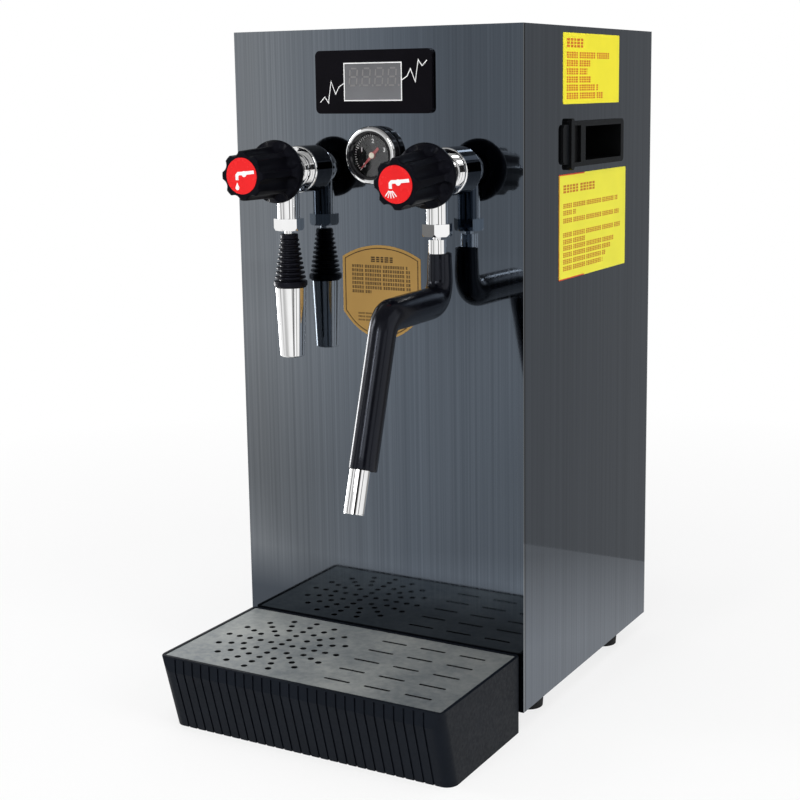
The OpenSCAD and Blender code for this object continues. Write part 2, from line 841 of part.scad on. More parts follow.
module spindle() {
  color("#c9b37a") difference() {
    translate([0, 0, spindle_z]) cylinder(d = spindle_d, h = hub_top_z - spindle_z);
    translate([0, 0, spindle_z - eps])
      cylinder(d = plug_stem_d + 2 * run_gap, h = plug_stem_l + stem_room + eps);
  }
}

module water_spindle() {
  at_valve(water_x, water_droop) spindle();
}

module steam_spindle() {
  at_valve(steam_x, steam_droop) spindle();
}

// Knob: a fluted grip that swells into a round collar, hollow over the bonnet

collar_h = 12;
collar_r = collar_d / 2;
face_edge_r = 1.6;
knob_bore_d = bonnet_hex / cos(30) + 3;
knob_bore_h = bonnet_out + 3;
badge_t = 1.8;
badge_recess = 1.4;
flute_r = 6;
flute_axis = grip_face_d / 2 - flute_depth + flute_r;
flute_end = collar_h + 1.5;

module knob_blank() {
  rotate_extrude() polygon(concat(
    [[0, 0], [collar_r - 4, 0]],
    arc(collar_r - 5, 5, 5, -70, 0, 5),
    arc(collar_r - 6.5, 5.5, 6.5, 4, 50, 4),
    [[grip_d / 2, collar_h], [grip_face_d / 2, knob_l - face_edge_r]],
    arc(grip_face_d / 2 - face_edge_r, knob_l - face_edge_r, face_edge_r, 15, 90, 4),
    [[0, knob_l]]));
}

// A round bar with a domed lower end
module flute_cutter() {
  rotate_extrude() polygon(concat(
    arc(0, 0, flute_r, -90, -15, 4), [[flute_r, 1], [flute_r, knob_l], [0, knob_l]]));
}

module knob() {
  color("#121214") translate([0, 0, collar_back]) difference() {
    knob_blank();
    for (i = [0 : flute_count - 1])
      rotate([0, 0, (i + 0.5) * 360 / flute_count]) translate([flute_axis, 0, flute_end]) flute_cutter();
    translate([0, 0, -eps]) cylinder(d = knob_bore_d, h = knob_bore_h + eps);
    cylinder(d = spindle_d + 2 * fit_gap, h = hub_top_z - collar_back + fit_gap);
    translate([0, 0, knob_l - badge_recess]) cylinder(d = badge_d + 2 * fit_gap, h = badge_recess + eps);
  }
}

module water_knob() {
  at_valve(water_x, water_droop) knob();
}

module steam_knob() {
  at_valve(steam_x, steam_droop) knob();
}

module knob_badge() {
  color("#dd2020") translate([0, 0, knob_face_z - badge_recess]) cylinder(d = badge_d, h = badge_t);
}

module water_knob_badge() {
  at_valve(water_x, water_droop) knob_badge();
}

module steam_knob_badge() {
  at_valve(steam_x, steam_droop) knob_badge();
}

locknut_af = tap_tail_d + 8;
locknut_h = 7;

module tap_locknuts() {
  placed() color("#c9b37a") for (x = [water_x, steam_x])
    translate([x, sheet_t, tap_z]) backward() difference() {
      hex_bar(locknut_af, locknut_h);
      translate([0, 0, -eps]) cylinder(d = tap_tail_d + 2 * fit_gap, h = locknut_h + 2 * eps);
    }
}

// Union nuts under the taps, the left one flat and the right one corner towards the viewer

water_nut_turn = 34;
steam_nut_turn = -12;
neck_bore_d = neck_d + 2 * run_gap;

module union_nut() {
  difference() {
    intersection() {
      hex_bar(nut_af, nut_h);
      cylinder(d1 = 1.06 * nut_af, d2 = 1.5 * nut_af, h = nut_h);
    }
    translate([0, 0, lip_h]) cylinder(d = spigot_d + 2 * fit_gap, h = nut_h);
    translate([0, 0, -eps]) cylinder(d = neck_bore_d, h = nut_h);
  }
}

module union_nuts() {
  placed() color("silver") {
    translate([water_x, -tap_reach, nut_bottom_z]) rotate([0, 0, water_nut_turn]) union_nut();
    translate([steam_x, -tap_reach, nut_bottom_z]) rotate([0, 0, steam_nut_turn]) union_nut();
  }
}

head_z = nut_bottom_z + lip_h + head_gap;
head_d = spigot_d - 1;
pipe_bore_d = neck_d - 2.4;

// Hot water spout

nozzle_cap_h = 4;
spout_pipe_z = boot_bottom_z - nozzle_cap_h - 6;

module at_spout() {
  placed() translate([water_x, -tap_reach, 0]) children();
}

module spout_pipe() {
  at_spout() color("silver") difference() {
    union() {
      translate([0, 0, spout_pipe_z]) cylinder(d = neck_d, h = head_z + head_h - spout_pipe_z);
      translate([0, 0, head_z]) cylinder(d = head_d, h = head_h);
    }
    translate([0, 0, spout_pipe_z - eps])
      cylinder(d = pipe_bore_d, h = head_z - spout_pipe_z + 2 * head_h + eps);
  }
}

boot_foot_h = 4;
boot_head_h = 4;
rib_pitch = (boot_h - boot_foot_h - boot_head_h) / rib_count;
rib_share = 0.5;
rib_lip = 0.1;
boot_edge = 1;
neck_wall = 1.8;

function boot_r(z) = boot_bottom_d / 2 + (boot_top_d - boot_bottom_d) / 2 * z / boot_h;
function groove_r(z) = max(boot_r(z) - rib_depth * (1.2 - z / boot_h), neck_d / 2 + neck_wall);

// Each rib is a short cone with a groove above it
module spout_boot() {
  at_spout() color("#151517") translate([0, 0, boot_bottom_z]) rotate_extrude() polygon(concat(
    [[neck_d / 2 + fit_gap, 0], [boot_r(0), 0], [boot_r(0), boot_foot_h]],
    [for (i = [0 : rib_count - 1], k = [0 : 3])
      let (z = boot_foot_h + i * rib_pitch)
      k == 0 ? [groove_r(z), z + rib_lip] :
      k == 1 ? [groove_r(z), z + rib_pitch * (1 - rib_share)] :
      k == 2 ? [boot_r(z + rib_pitch), z + rib_pitch * (1 - rib_share)] :
      [boot_r(z + rib_pitch), z + rib_pitch]],
    [[boot_top_d / 2, boot_h - boot_head_h + rib_lip], [boot_top_d / 2, boot_h - boot_edge],
     [boot_top_d / 2 - boot_edge, boot_h], [neck_d / 2 + fit_gap, boot_h]]));
}

module spout_nozzle() {
  edge_r = 1.5;
  at_spout() color("gainsboro") translate([0, 0, nozzle_mouth_z]) rotate_extrude() polygon(concat(
    [[nozzle_mouth_d / 2 - nozzle_wall, 0]],
    arc(nozzle_mouth_d / 2 - edge_r, edge_r, edge_r, -80, 0, 5),
    [[nozzle_top_d / 2, nozzle_h - 1], [nozzle_top_d / 2 - 1, nozzle_h], [neck_d / 2 + fit_gap, nozzle_h],
     [neck_d / 2 + fit_gap, nozzle_h - nozzle_cap_h],
     [nozzle_top_d / 2 - nozzle_wall, nozzle_h - nozzle_cap_h]]));
}

// Steam wand, drawn in its own upright plane with the swivel axis at the origin

module at_wand() {
  placed() translate([steam_x, -tap_reach, 0]) rotate([0, 0, wand_turn]) children();
}

// Part of a ring in the plane of the wand, swept from one angle over another
module bend(reach, z, bend_r, d, from, sweep) {
  translate([0, -reach, z]) rotate([90, 0, 90]) rotate([0, 0, from])
    rotate_extrude(angle = sweep) translate([bend_r, 0]) circle(d = d);
}

// The end of the second bend, with +Z along the lower part
module at_lower() {
  translate([0, -lower_y, lower_z]) rotate([180 - wand_lean, 0, 0]) children();
}

module lower_bar(offset, d, start, length) {
  at_lower() translate([0, -offset, start]) cylinder(d = d, h = length);
}

// A ball closes the joint between the second bend and the lower part
joint_swell = 0.06;
joint_gap = 0.2;

// A bar along the wand's path, set back from the pipe's axis by an offset
module wand_bar(offset, d, z_top, end_l) {
  translate([0, offset, bend_z]) cylinder(d = d, h = z_top - bend_z);
  bend(first_bend_r, bend_z, first_bend_r + offset, d, -90, 90);
  translate([0, -first_bend_r, arm_z - offset]) forward() cylinder(d = d, h = arm_l);
  bend(second_bend_y, second_bend_z, second_bend_r - offset, d, 90, second_turn);
  at_lower() translate([0, -offset, 0]) sphere(d = d + 2 * joint_swell);
  lower_bar(offset, d, joint_gap, end_l - joint_gap);
}

thread_l = 12;
tip_bore_d = neck_d + 2 * fit_gap;
tip_hole_d = 2.4;

module wand_pipe() {
  at_wand() color("silver") {
    wand_bar(0, neck_d, head_z + head_h, lower_l + thread_l);
    translate([0, 0, head_z]) cylinder(d = head_d, h = head_h);
  }
}

module wand_sleeve() {
  at_wand() color("#131315") difference() {
    wand_bar(sleeve_sag, sleeve_d, sleeve_top_z, lower_l);
    wand_bar(0, neck_d + 2 * fit_gap, sleeve_top_z + eps, lower_l + eps);
  }
}

module wand_ferrule() {
  at_wand() color("silver") translate([0, 0, sleeve_top_z])
    ring(ferrule_d, neck_d + 2 * fit_gap, ferrule_l);
}

module wand_tip() {
  edge = 0.8;
  at_wand() color("gainsboro") difference() {
    union() {
      lower_bar(0, tip_d, lower_l, tip_l - edge);
      lower_bar(0, tip_d - 2 * edge, lower_l, tip_l);
      lower_bar(0, tip_d, lower_l + tip_l - edge / 2, edge / 2);
    }
    lower_bar(0, tip_bore_d, lower_l - eps, thread_l + eps + fit_gap);
    lower_bar(0, tip_hole_d, lower_l, tip_l + eps);
  }
}

// Drip tray, with the rim's plan cut by the sloping front

tray_w = case_w - 2 * tray_inset;
tray_front = tray_gap + tray_d;
tray_y = -tray_gap - tray_d / 2;
tray_rear_r = 4;
tray_edge_h = 1.2;
ledge_w = 3;
grille_gap = 0.3;
grille_recess = 0.4;
grille_seat_z = tray_h - grille_t - grille_recess;

module tray_plan(inset) {
  w = tray_w - 2 * inset;
  d = tray_d - 2 * inset;
  front_r = max(tray_corner_r - inset, 1);
  rear_r = max(tray_rear_r - inset, 1);
  union() {
    translate([-w / 2 + front_r, -d / 2]) square([w - 2 * front_r, d]);
    translate([-w / 2, -d / 2 + front_r]) square([w, d - front_r - rear_r]);
    translate([-w / 2 + rear_r, d / 2 - 2 * rear_r]) square([w - 2 * rear_r, 2 * rear_r]);
    for (sx = [-1, 1]) {
      translate([sx * (w / 2 - front_r), -d / 2 + front_r]) circle(front_r);
      translate([sx * (w / 2 - rear_r), d / 2 - rear_r]) circle(rear_r);
    }
  }
}

tray_band_z = tray_h - tray_band_h;
tray_tilt = atan(tray_slope / tray_band_z);

// Everything behind the sloping front, moved inwards by an inset
module behind_front(inset, z0) {
  reach = 2 * tray_d;
  front = -tray_front + inset;
  rotate([90, 0, 90]) linear_extrude(2 * tray_w, center = true) polygon([
    [front + tray_slope * (1 - z0 / tray_band_z), z0], [front, tray_band_z], [front, 2 * tray_h],
    [front + reach, 2 * tray_h], [front + reach, z0]]);
}

// A block that leans with the sloping front and rounds its corners, more so towards the counter
module leaning_block() {
  reach = 2 * tray_d;
  translate([0, -tray_front, tray_band_z]) rotate([tray_tilt, 0, 0])
    linear_extrude(4 * tray_h, center = true) union() {
      translate([-tray_w / 2 + tray_foot_r, 0]) square([tray_w - 2 * tray_foot_r, reach]);
      translate([-tray_w / 2, tray_foot_r]) square([tray_w, reach - tray_foot_r]);
      for (sx = [-1, 1])
        translate([sx * (tray_w / 2 - tray_foot_r), tray_foot_r]) circle(tray_foot_r);
    }
}

groove_span = tray_w - 2 * groove_margin - groove_pitch / 2;
groove_count = floor(groove_span / groove_pitch) + 1;
groove_top_z = tray_h - tray_edge_h;

module tray_grooves() {
  front = -tray_front;
  foot = front + tray_slope * (1 + eps / tray_band_z);
  for (i = [0 : groove_count - 1])
    translate([(i - (groove_count - 1) / 2) * groove_pitch, 0, 0]) rotate([90, 0, 90])
      linear_extrude(groove_w, center = true) polygon([
        [front - eps, groove_top_z], [front - eps, tray_band_z], [foot - eps, -eps],
        [foot + groove_depth, -eps], [front + groove_depth, tray_band_z],
        [front + groove_depth, groove_top_z]]);
}

module drip_tray() {
  placed() color("#1d2024") difference() {
    intersection() {
      translate([0, tray_y, 0]) linear_extrude(tray_h) tray_plan(0);
      behind_front(0, 0);
      leaning_block();
    }
    intersection() {
      translate([0, tray_y, tray_wall]) linear_extrude(tray_h) tray_plan(rim_w + ledge_w);
      behind_front(rim_w + ledge_w, tray_wall);
    }
    translate([0, tray_y, grille_seat_z]) linear_extrude(tray_h) tray_plan(rim_w);
    tray_grooves();
  }
}

// Rings of round holes on the left, as many as fit, and rows of slots on the right
grille_w = tray_w - 2 * (rim_w + grille_gap);
grille_d = tray_d - 2 * (rim_w + grille_gap);
grille_edge = 7;
slots_left = 13.25;
burst_right = -0.25;
burst_room = min(grille_d, grille_w / 2 + burst_right + grille_edge) / 2 - grille_edge;
ring_count = floor((burst_room - drain_hole_d / 2) / ring_pitch);
burst_x = burst_right - ring_count * ring_pitch - drain_hole_d / 2;
slot_columns = floor((grille_w / 2 - grille_edge - slots_left - slot_l) / slot_pitch_x) + 1;
slot_rows = floor((grille_d - 2 * grille_edge - slot_w) / slot_pitch_y) + 1;
function ring_holes(k) = min(2 * pow(2, k), 16);

module drain_slot() {
  square([slot_l - slot_w, slot_w], center = true);
  for (sx = [-1, 1])
    translate([sx * (slot_l - slot_w) / 2, 0]) circle(d = slot_w);
}

module drip_grille() {
  placed() color("#b9bcbd") translate([0, tray_y, grille_seat_z]) linear_extrude(grille_t) difference() {
    tray_plan(rim_w + grille_gap);
    translate([burst_x, 0]) {
      circle(d = drain_hole_d);
      for (k = [1 : ring_count], i = [0 : ring_holes(k) - 1])
        rotate(i * 360 / ring_holes(k)) translate([k * ring_pitch, 0]) circle(d = drain_hole_d);
    }
    for (i = [0 : slot_columns - 1], j = [0 : slot_rows - 1])
      translate([slots_left + slot_l / 2 + i * slot_pitch_x, (j - (slot_rows - 1) / 2) * slot_pitch_y])
        drain_slot();
  }
}

// Boiler

lid_z = top_z - head_room;
tank_top_z = lid_z - lid_t;
tank_h = tank_top_z - tank_z;
rim_d = tank_d + 2 * tank_rim;
tank_y = case_d - sheet_t - tank_back_gap - rim_d / 2;
draw_pipe_y = tank_y - draw_pipe_inset;
heater_plug_d = 32;
heater_pitch = 16;
heater_flange_h = 5;
heater_flange_d = heater_plug_d + 16;
heater_plug_in = 6;
terminal_d = 5;
terminal_l = 14;
pipe_hole_gap = 2 * fit_gap;
lid_bolt_count = 8;
lid_bolt_d = 5;
lid_bolt_r = tank_d / 2 + tank_rim / 2;
valve_place = [42, 48];
probe_xs = [-24, -8, 8];
probe_y = 30;
probe_body_d = 9;
probe_d = 3;
probe_neck_d = probe_d + 2;
valve_stem_d = 12;
draw_bend_r = 20;
gauge_bend_r = 12;
feed_tube_d = 8;
feed_x = heater_flange_d / 2 + feed_tube_d + 4;
lid_bolt_af = 1.6 * lid_bolt_d;
lid_bolt_head_h = 0.7 * lid_bolt_d;
lid_bolt_end = 1;
gauge_leg_y = draw_pipe_y;

module at_tank() {
  placed() translate([0, tank_y, 0]) children();
}

module lid_bolt_places() {
  for (i = [0 : lid_bolt_count - 1])
    rotate([0, 0, (i + 0.5) * 360 / lid_bolt_count]) translate([lid_bolt_r, 0, 0]) children();
}

module boiler_tank() {
  at_tank() color("lightsteelblue") difference() {
    union() {
      translate([0, 0, tank_z]) cylinder(d = tank_d, h = tank_h);
      translate([0, 0, tank_top_z - lid_t]) cylinder(d = rim_d, h = lid_t);
    }
    translate([0, 0, tank_z + tank_wall]) cylinder(d = tank_d - 2 * tank_wall, h = tank_h);
    translate([0, 0, tank_z - eps]) cylinder(d = heater_plug_d + pipe_hole_gap, h = tank_wall + 2 * eps);
    translate([feed_x, 0, tank_z - eps]) cylinder(d = feed_tube_d + pipe_hole_gap, h = tank_wall + 2 * eps);
    lid_bolt_places() translate([0, 0, tank_top_z - lid_t - eps])
      cylinder(d = lid_bolt_d + pipe_hole_gap, h = lid_t + 2 * eps);
  }
}

module boiler_lid() {
  hole_h = lid_t + 2 * eps;
  at_tank() color("lightsteelblue") difference() {
    translate([0, 0, tank_top_z]) cylinder(d = rim_d, h = lid_t);
    translate([0, 0, tank_top_z - eps]) {
      for (x = [water_x, steam_x])
        translate([x, draw_pipe_y - tank_y, 0]) cylinder(d = draw_pipe_d + pipe_hole_gap, h = hole_h);
      translate([front_x, gauge_leg_y - tank_y, 0]) cylinder(d = gauge_pipe_d + pipe_hole_gap, h = hole_h);
      translate(valve_place) cylinder(d = valve_stem_d + pipe_hole_gap, h = hole_h);
      for (x = probe_xs)
        translate([x, probe_y, 0]) cylinder(d = probe_neck_d + pipe_hole_gap, h = hole_h);
      lid_bolt_places() cylinder(d = lid_bolt_d + pipe_hole_gap, h = hole_h);
    }
  }
}

module lid_bolts() {
  at_tank() color("silver") lid_bolt_places() {
    translate([0, 0, lid_z]) hex_bar(lid_bolt_af, lid_bolt_head_h);
    translate([0, 0, tank_top_z - 2 * lid_t - lid_bolt_end])
      cylinder(d = lid_bolt_d, h = 3 * lid_t + 2 * lid_bolt_end);
    translate([0, 0, tank_top_z - 2 * lid_t]) hex_bar(lid_bolt_af, lid_t);
  }
}

stand_t = 4;
post_w = 12;
stand_ring_w = 28;
stand_ring_d = tank_d - 2 * stand_ring_w;
post_place = (tank_d - stand_ring_w) / 2 * cos(45);
post_root = 0.5;

module boiler_stand() {
  at_tank() color("dimgray") {
    translate([0, 0, tank_z - stand_t]) ring(tank_d, stand_ring_d, stand_t);
    for (sx = [-1, 1], sy = [-1, 1])
      translate([sx * post_place - post_w / 2, sy * post_place - post_w / 2, floor_z])
        cube([post_w, post_w, tank_z - stand_t - floor_z + post_root]);
  }
}

module heating_element() {
  at_tank() color("#8d8f92") {
    translate([0, 0, tank_z - heater_flange_h]) cylinder(d = heater_flange_d, h = heater_flange_h);
    translate([0, 0, tank_z - heater_flange_h])
      cylinder(d = heater_plug_d, h = heater_flange_h + tank_wall + heater_plug_in);
    for (sx = [-1, 1]) {
      translate([sx * heater_pitch / 2, 0, tank_z]) cylinder(d = heater_d, h = heater_l);
      translate([sx * heater_pitch / 2, 0, tank_z - heater_flange_h - terminal_l])
        cylinder(d = terminal_d, h = terminal_l + eps);
    }
    translate([0, 0, tank_z + heater_l]) rotate([90, 0, 0]) rotate_extrude(angle = 180)
      translate([heater_pitch / 2, 0]) circle(d = heater_d);
  }
}

module safety_valve() {
  hex_h = 10;
  body_h = 25;
  cap_h = 7;
  at_tank() color("#c9b37a") translate(concat(valve_place, [lid_z])) {
    translate([0, 0, -lid_t - 4]) cylinder(d = valve_stem_d, h = lid_t + 4 + eps);
    hex_bar(valve_stem_d + 8, hex_h);
    translate([0, 0, hex_h - eps]) cylinder(d = valve_stem_d + 5, h = body_h + eps);
    translate([0, 0, hex_h + body_h - eps]) cylinder(d = valve_stem_d - 1, h = cap_h + eps);
  }
}

probe_reach = 60;
probe_step = 40;
probe_body_h = 16;
probe_head = 8;

module level_probes() {
  at_tank() color("ivory") for (i = [0 : len(probe_xs) - 1])
    translate([probe_xs[i], probe_y, lid_z]) {
      cylinder(d = probe_body_d, h = probe_body_h);
      translate([0, 0, -lid_t - 2]) cylinder(d = probe_neck_d, h = lid_t + 2 + eps);
      translate([0, 0, -probe_reach - probe_step * i])
        cylinder(d = probe_d, h = probe_reach + probe_step * i + probe_body_h + probe_head);
    }
}

// A pipe that runs back from a point on the front and bends down to a height
module draw_pipe(x, z, y0, y1, bend_r, d, z_end) {
  placed() translate([x, 0, 0]) {
    translate([0, y0, z]) backward() cylinder(d = d, h = y1 - bend_r - y0 + 0.02);
    translate([0, y1 - bend_r, z - bend_r]) rotate([90, 0, 90])
      rotate_extrude(angle = 90) translate([bend_r, 0]) circle(d = d);
    translate([0, y1, z_end]) cylinder(d = d, h = z - bend_r - z_end + 0.02);
  }
}

tail_end_y = sheet_t + tap_tail_l;
water_pickup = 40;
steam_pickup = 12;

module water_draw_pipe() {
  color("#b8734a") draw_pipe(water_x, tap_z, tail_end_y, draw_pipe_y, draw_bend_r, draw_pipe_d,
    tank_z + water_pickup);
}

module steam_draw_pipe() {
  color("#b8734a") draw_pipe(steam_x, tap_z, tail_end_y, draw_pipe_y, draw_bend_r, draw_pipe_d,
    tank_top_z - steam_pickup);
}

module gauge_pipe() {
  color("#b8734a") draw_pipe(front_x, gauge_z, gauge_depth + gauge_stem_l, gauge_leg_y, gauge_bend_r,
    gauge_pipe_d, tank_top_z - steam_pickup);
}

// Feed: inlet valve on the back panel and pump on the base plate

inlet_tail = 12;
feed_block = 34;
block_y = case_d - sheet_t - inlet_tail - feed_block;
link_l = 24;
pump_y = block_y - link_l - pump_l;
pump_z = inlet_z;
cradle_w = 0.6 * pump_d;
cradle_top = 0.3 * pump_d;
cradle_margin = 15;
feed_bend = 14;
feed_end = 4;
root = 0.5;
coil_d = 28;
coil_h = 34;

module inlet_valve() {
  placed() color("#e3dfd2") {
    translate([inlet_x - feed_block / 2, block_y, inlet_z - feed_block / 2])
      cube([feed_block, feed_block, feed_block]);
    translate([inlet_x, block_y + feed_block / 2, inlet_z + feed_block / 2 - root])
      cylinder(d = coil_d, h = coil_h);
  }
}

module feed_pump() {
  feed_z = pump_z - pump_d / 2 + feed_tube_d;
  placed() color("#2c3a52") {
    translate([inlet_x, pump_y, pump_z]) backward() cylinder(d = pump_d, h = pump_l);
    translate([inlet_x, pump_y + pump_l - eps, pump_z]) backward()
      cylinder(d = feed_tube_d, h = link_l + eps);
    translate([inlet_x - cradle_w / 2, pump_y + cradle_margin, floor_z])
      cube([cradle_w, pump_l - 2 * cradle_margin, pump_z - floor_z - cradle_top]);
    translate([feed_x + feed_bend, tank_y, feed_z]) rotate([0, 90, 0])
      cylinder(d = feed_tube_d, h = inlet_x - feed_x - feed_bend);
    translate([feed_x + feed_bend, tank_y, feed_z + feed_bend]) rotate([90, 0, 0]) rotate([0, 0, 180])
      rotate_extrude(angle = 90) translate([feed_bend, 0]) circle(d = feed_tube_d);
    translate([feed_x, tank_y, feed_z + feed_bend - 0.02])
      cylinder(d = feed_tube_d, h = tank_z + tank_wall + feed_end - feed_z - feed_bend);
  }
}

board_back = 10;
board_y = mid_y - board_back;
board_z = 250;
standoff_l = 6;
standoff_d = 6;
relay_l = 18;
relay_h = 26;
relay_t = 14;
relay_gap = 8;
relay_inset = 10;
relay_count = 3;
relay_y = board_y - board_l / 2 + relay_inset;
supply_l = 40;
supply_h = 36;
supply_t = 16;
supply_front = 26;
supply_drop = 55;

module control_board() {
  x0 = -case_w / 2 + sheet_t;
  part_x = x0 + standoff_l + root;
  placed() color("darkgreen") {
    for (sy = [-1, 1], sz = [-1, 1])
      translate([x0, board_y + sy * (board_l / 2 - standoff_d), board_z + sz * (board_h / 2 - standoff_d)])
        rotate([0, 90, 0]) cylinder(d = standoff_d, h = standoff_l + root);
    translate([x0 + standoff_l, board_y - board_l / 2, board_z - board_h / 2])
      cube([pcb_t, board_l, board_h]);
    for (i = [0 : relay_count - 1])
      translate([part_x, relay_y + i * (relay_l + relay_gap), board_z + relay_inset])
        cube([relay_t, relay_l, relay_h]);
    translate([part_x, board_y - supply_front, board_z - supply_drop]) cube([supply_t, supply_l, supply_h]);
  }
}

// Rear fittings

rear_flange_h = 4;
inlet_wall = 3.5;
drain_wall = 2;
drain_flange_w = 4;
gland_cone = 4;

module water_inlet() {
  placed() color("#c9b37a") translate([inlet_x, case_d, inlet_z]) difference() {
    union() {
      backward() cylinder(d = inlet_d, h = inlet_l);
      backward() hex_bar(inlet_d + 5, rear_flange_h);
      forward() cylinder(d = inlet_d, h = sheet_t + inlet_tail);
    }
    translate([0, inlet_l + eps, 0]) forward()
      cylinder(d = inlet_d - 2 * inlet_wall, h = inlet_l + sheet_t + inlet_tail + 2 * eps);
  }
}

module drain_outlet() {
  placed() color("silver") translate([drain_x, case_d, drain_z]) difference() {
    union() {
      backward() cylinder(d = drain_d, h = drain_l);
      backward() cylinder(d = drain_d + 2 * drain_flange_w, h = rear_flange_h);
      forward() cylinder(d = drain_d, h = sheet_t + inlet_tail);
    }
    translate([0, drain_l + eps, 0]) forward()
      cylinder(d = drain_d - 2 * drain_wall, h = drain_l + sheet_t + inlet_tail + 2 * eps);
  }
}

module cable_gland() {
  placed() color("#1a1a1c") translate([gland_x, case_d, gland_z]) difference() {
    union() {
      backward() hex_bar(gland_d + 6, rear_flange_h + 1);
      backward() cylinder(d = gland_d, h = gland_l - gland_cone);
      translate([0, gland_l - gland_cone, 0]) backward()
        cylinder(d1 = gland_d, d2 = gland_d - gland_cone, h = gland_cone);
      forward() cylinder(d = gland_d, h = sheet_t + inlet_tail);
    }
    translate([0, gland_l + eps, 0]) forward()
      cylinder(d = cable_d, h = gland_l + sheet_t + inlet_tail + 2 * eps);
  }
}

switch_wall = 2;
switch_depth = 20;
switch_proud = 2;
rocker_gap = 0.5;
rocker_w = switch_body_w - 2 * switch_wall - 2 * rocker_gap;
rocker_h = switch_body_h - 2 * switch_wall - 2 * rocker_gap;
switch_floor = 6;
pivot_d = 3;
pivot_y = -4;
pivot_l = switch_body_w - switch_wall;
pivot_end_gap = 0.2;
valley_r = 6;
valley_depth = 2.6;

module at_switch() {
  placed() translate([switch_x, case_d, switch_z]) children();
}

module switch_frame() {
  at_switch() color("#17181a") difference() {
    union() {
      translate([-switch_w / 2, 0, -switch_h / 2]) cube([switch_w, switch_proud, switch_h]);
      translate([-switch_body_w / 2, -switch_depth, -switch_body_h / 2])
        cube([switch_body_w, switch_depth, switch_body_h]);
    }
    translate([-rocker_w / 2 - rocker_gap, -switch_depth + switch_floor, -rocker_h / 2 - rocker_gap])
      cube([rocker_w + 2 * rocker_gap, switch_depth, rocker_h + 2 * rocker_gap]);
    translate([0, pivot_y, 0]) rotate([0, 90, 0])
      cylinder(d = pivot_d + 2 * run_gap, h = pivot_l, center = true);
  }
}

// The rocker's two faces meet in a shallow valley, and it rests with its upper half pressed in
module switch_rocker() {
  at_switch() color("#c01818") translate([0, pivot_y, 0]) rotate([switch_throw / 2, 0, 0]) {
    difference() {
      intersection() {
        translate([-rocker_w / 2, -4, -rocker_h / 2]) cube([rocker_w, 12, rocker_h]);
        rotate([0, 90, 0]) cylinder(r = rocker_h / 2, h = rocker_w, center = true);
      }
      translate([0, rocker_h / 2 + valley_r - valley_depth, 0]) rotate([0, 90, 0])
        cylinder(r = valley_r, h = switch_w, center = true);
    }
    rotate([0, 90, 0]) cylinder(d = pivot_d, h = pivot_l - 2 * pivot_end_gap, center = true);
  }
}

base_plate();
rubber_feet();
foot_bolts();
front_panel();
left_side_panel();
right_side_panel();
back_panel();
top_cover();
case_screws();
left_hand_cup();
right_hand_cup();
display_bezel();
display_window();
display_board();
gauge_case();
gauge_bezel();
gauge_dial();
gauge_needle();
gauge_glass();
water_tap_body();
water_tap_bonnet();
water_valve_plug();
water_spindle();
water_knob();
water_knob_badge();
steam_tap_body();
steam_tap_bonnet();
steam_valve_plug();
steam_spindle();
steam_knob();
steam_knob_badge();
tap_locknuts();
union_nuts();
spout_pipe();
spout_boot();
spout_nozzle();
wand_ferrule();
wand_pipe();
wand_sleeve();
wand_tip();
drip_tray();
drip_grille();
boiler_tank();
boiler_lid();
lid_bolts();
boiler_stand();
heating_element();
safety_valve();
level_probes();
water_draw_pipe();
steam_draw_pipe();
gauge_pipe();
inlet_valve();
feed_pump();
control_board();
water_inlet();
drain_outlet();
cable_gland();
switch_frame();
switch_rocker();
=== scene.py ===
import json
import math
import bpy
from mathutils import Matrix, Vector


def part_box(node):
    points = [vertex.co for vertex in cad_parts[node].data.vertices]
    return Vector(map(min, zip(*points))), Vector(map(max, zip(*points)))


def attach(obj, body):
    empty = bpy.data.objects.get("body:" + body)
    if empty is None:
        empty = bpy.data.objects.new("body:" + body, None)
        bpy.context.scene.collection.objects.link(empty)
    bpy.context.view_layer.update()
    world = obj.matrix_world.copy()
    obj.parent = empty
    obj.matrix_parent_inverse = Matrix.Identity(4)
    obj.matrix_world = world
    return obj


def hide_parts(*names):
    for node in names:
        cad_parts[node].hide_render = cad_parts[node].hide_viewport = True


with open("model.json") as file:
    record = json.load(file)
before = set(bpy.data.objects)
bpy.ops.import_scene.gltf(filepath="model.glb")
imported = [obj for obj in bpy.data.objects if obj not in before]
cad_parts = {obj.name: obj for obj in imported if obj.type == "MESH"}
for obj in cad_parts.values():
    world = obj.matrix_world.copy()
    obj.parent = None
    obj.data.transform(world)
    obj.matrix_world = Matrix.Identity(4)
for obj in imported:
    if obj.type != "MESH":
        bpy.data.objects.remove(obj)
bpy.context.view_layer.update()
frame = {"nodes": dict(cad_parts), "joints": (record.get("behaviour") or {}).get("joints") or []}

mm = 0.001
joints = {joint["name"]: joint for joint in frame["joints"]}
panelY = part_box("front_panel")[0].y  # outer face of the front panel
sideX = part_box("right_side_panel")[1].x  # outer face of the right side panel
print("frame loaded:", len(frame["nodes"]), "nodes")


# Mesh helpers

def addPiece(name, verts, faces, material, body, smooth=True):
    mesh = bpy.data.meshes.new(name)
    mesh.from_pydata([tuple(v) for v in verts], [], faces)
    mesh.validate()
    mesh.materials.append(material)
    mesh.polygons.foreach_set("use_smooth", [smooth] * len(mesh.polygons))
    piece = bpy.data.objects.new(name, mesh)
    bpy.context.scene.collection.objects.link(piece)
    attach(piece, body)
    return piece


def addPrint(name, parts, material, body):  # raised print of flat strokes and plates
    verts, faces = joined(parts)
    addPiece(name, verts, faces, material, body, smooth=False)


def sharpen(piece, angle):
    edges = piece.modifiers.new("sharp edges", "EDGE_SPLIT")
    edges.split_angle = math.radians(angle)


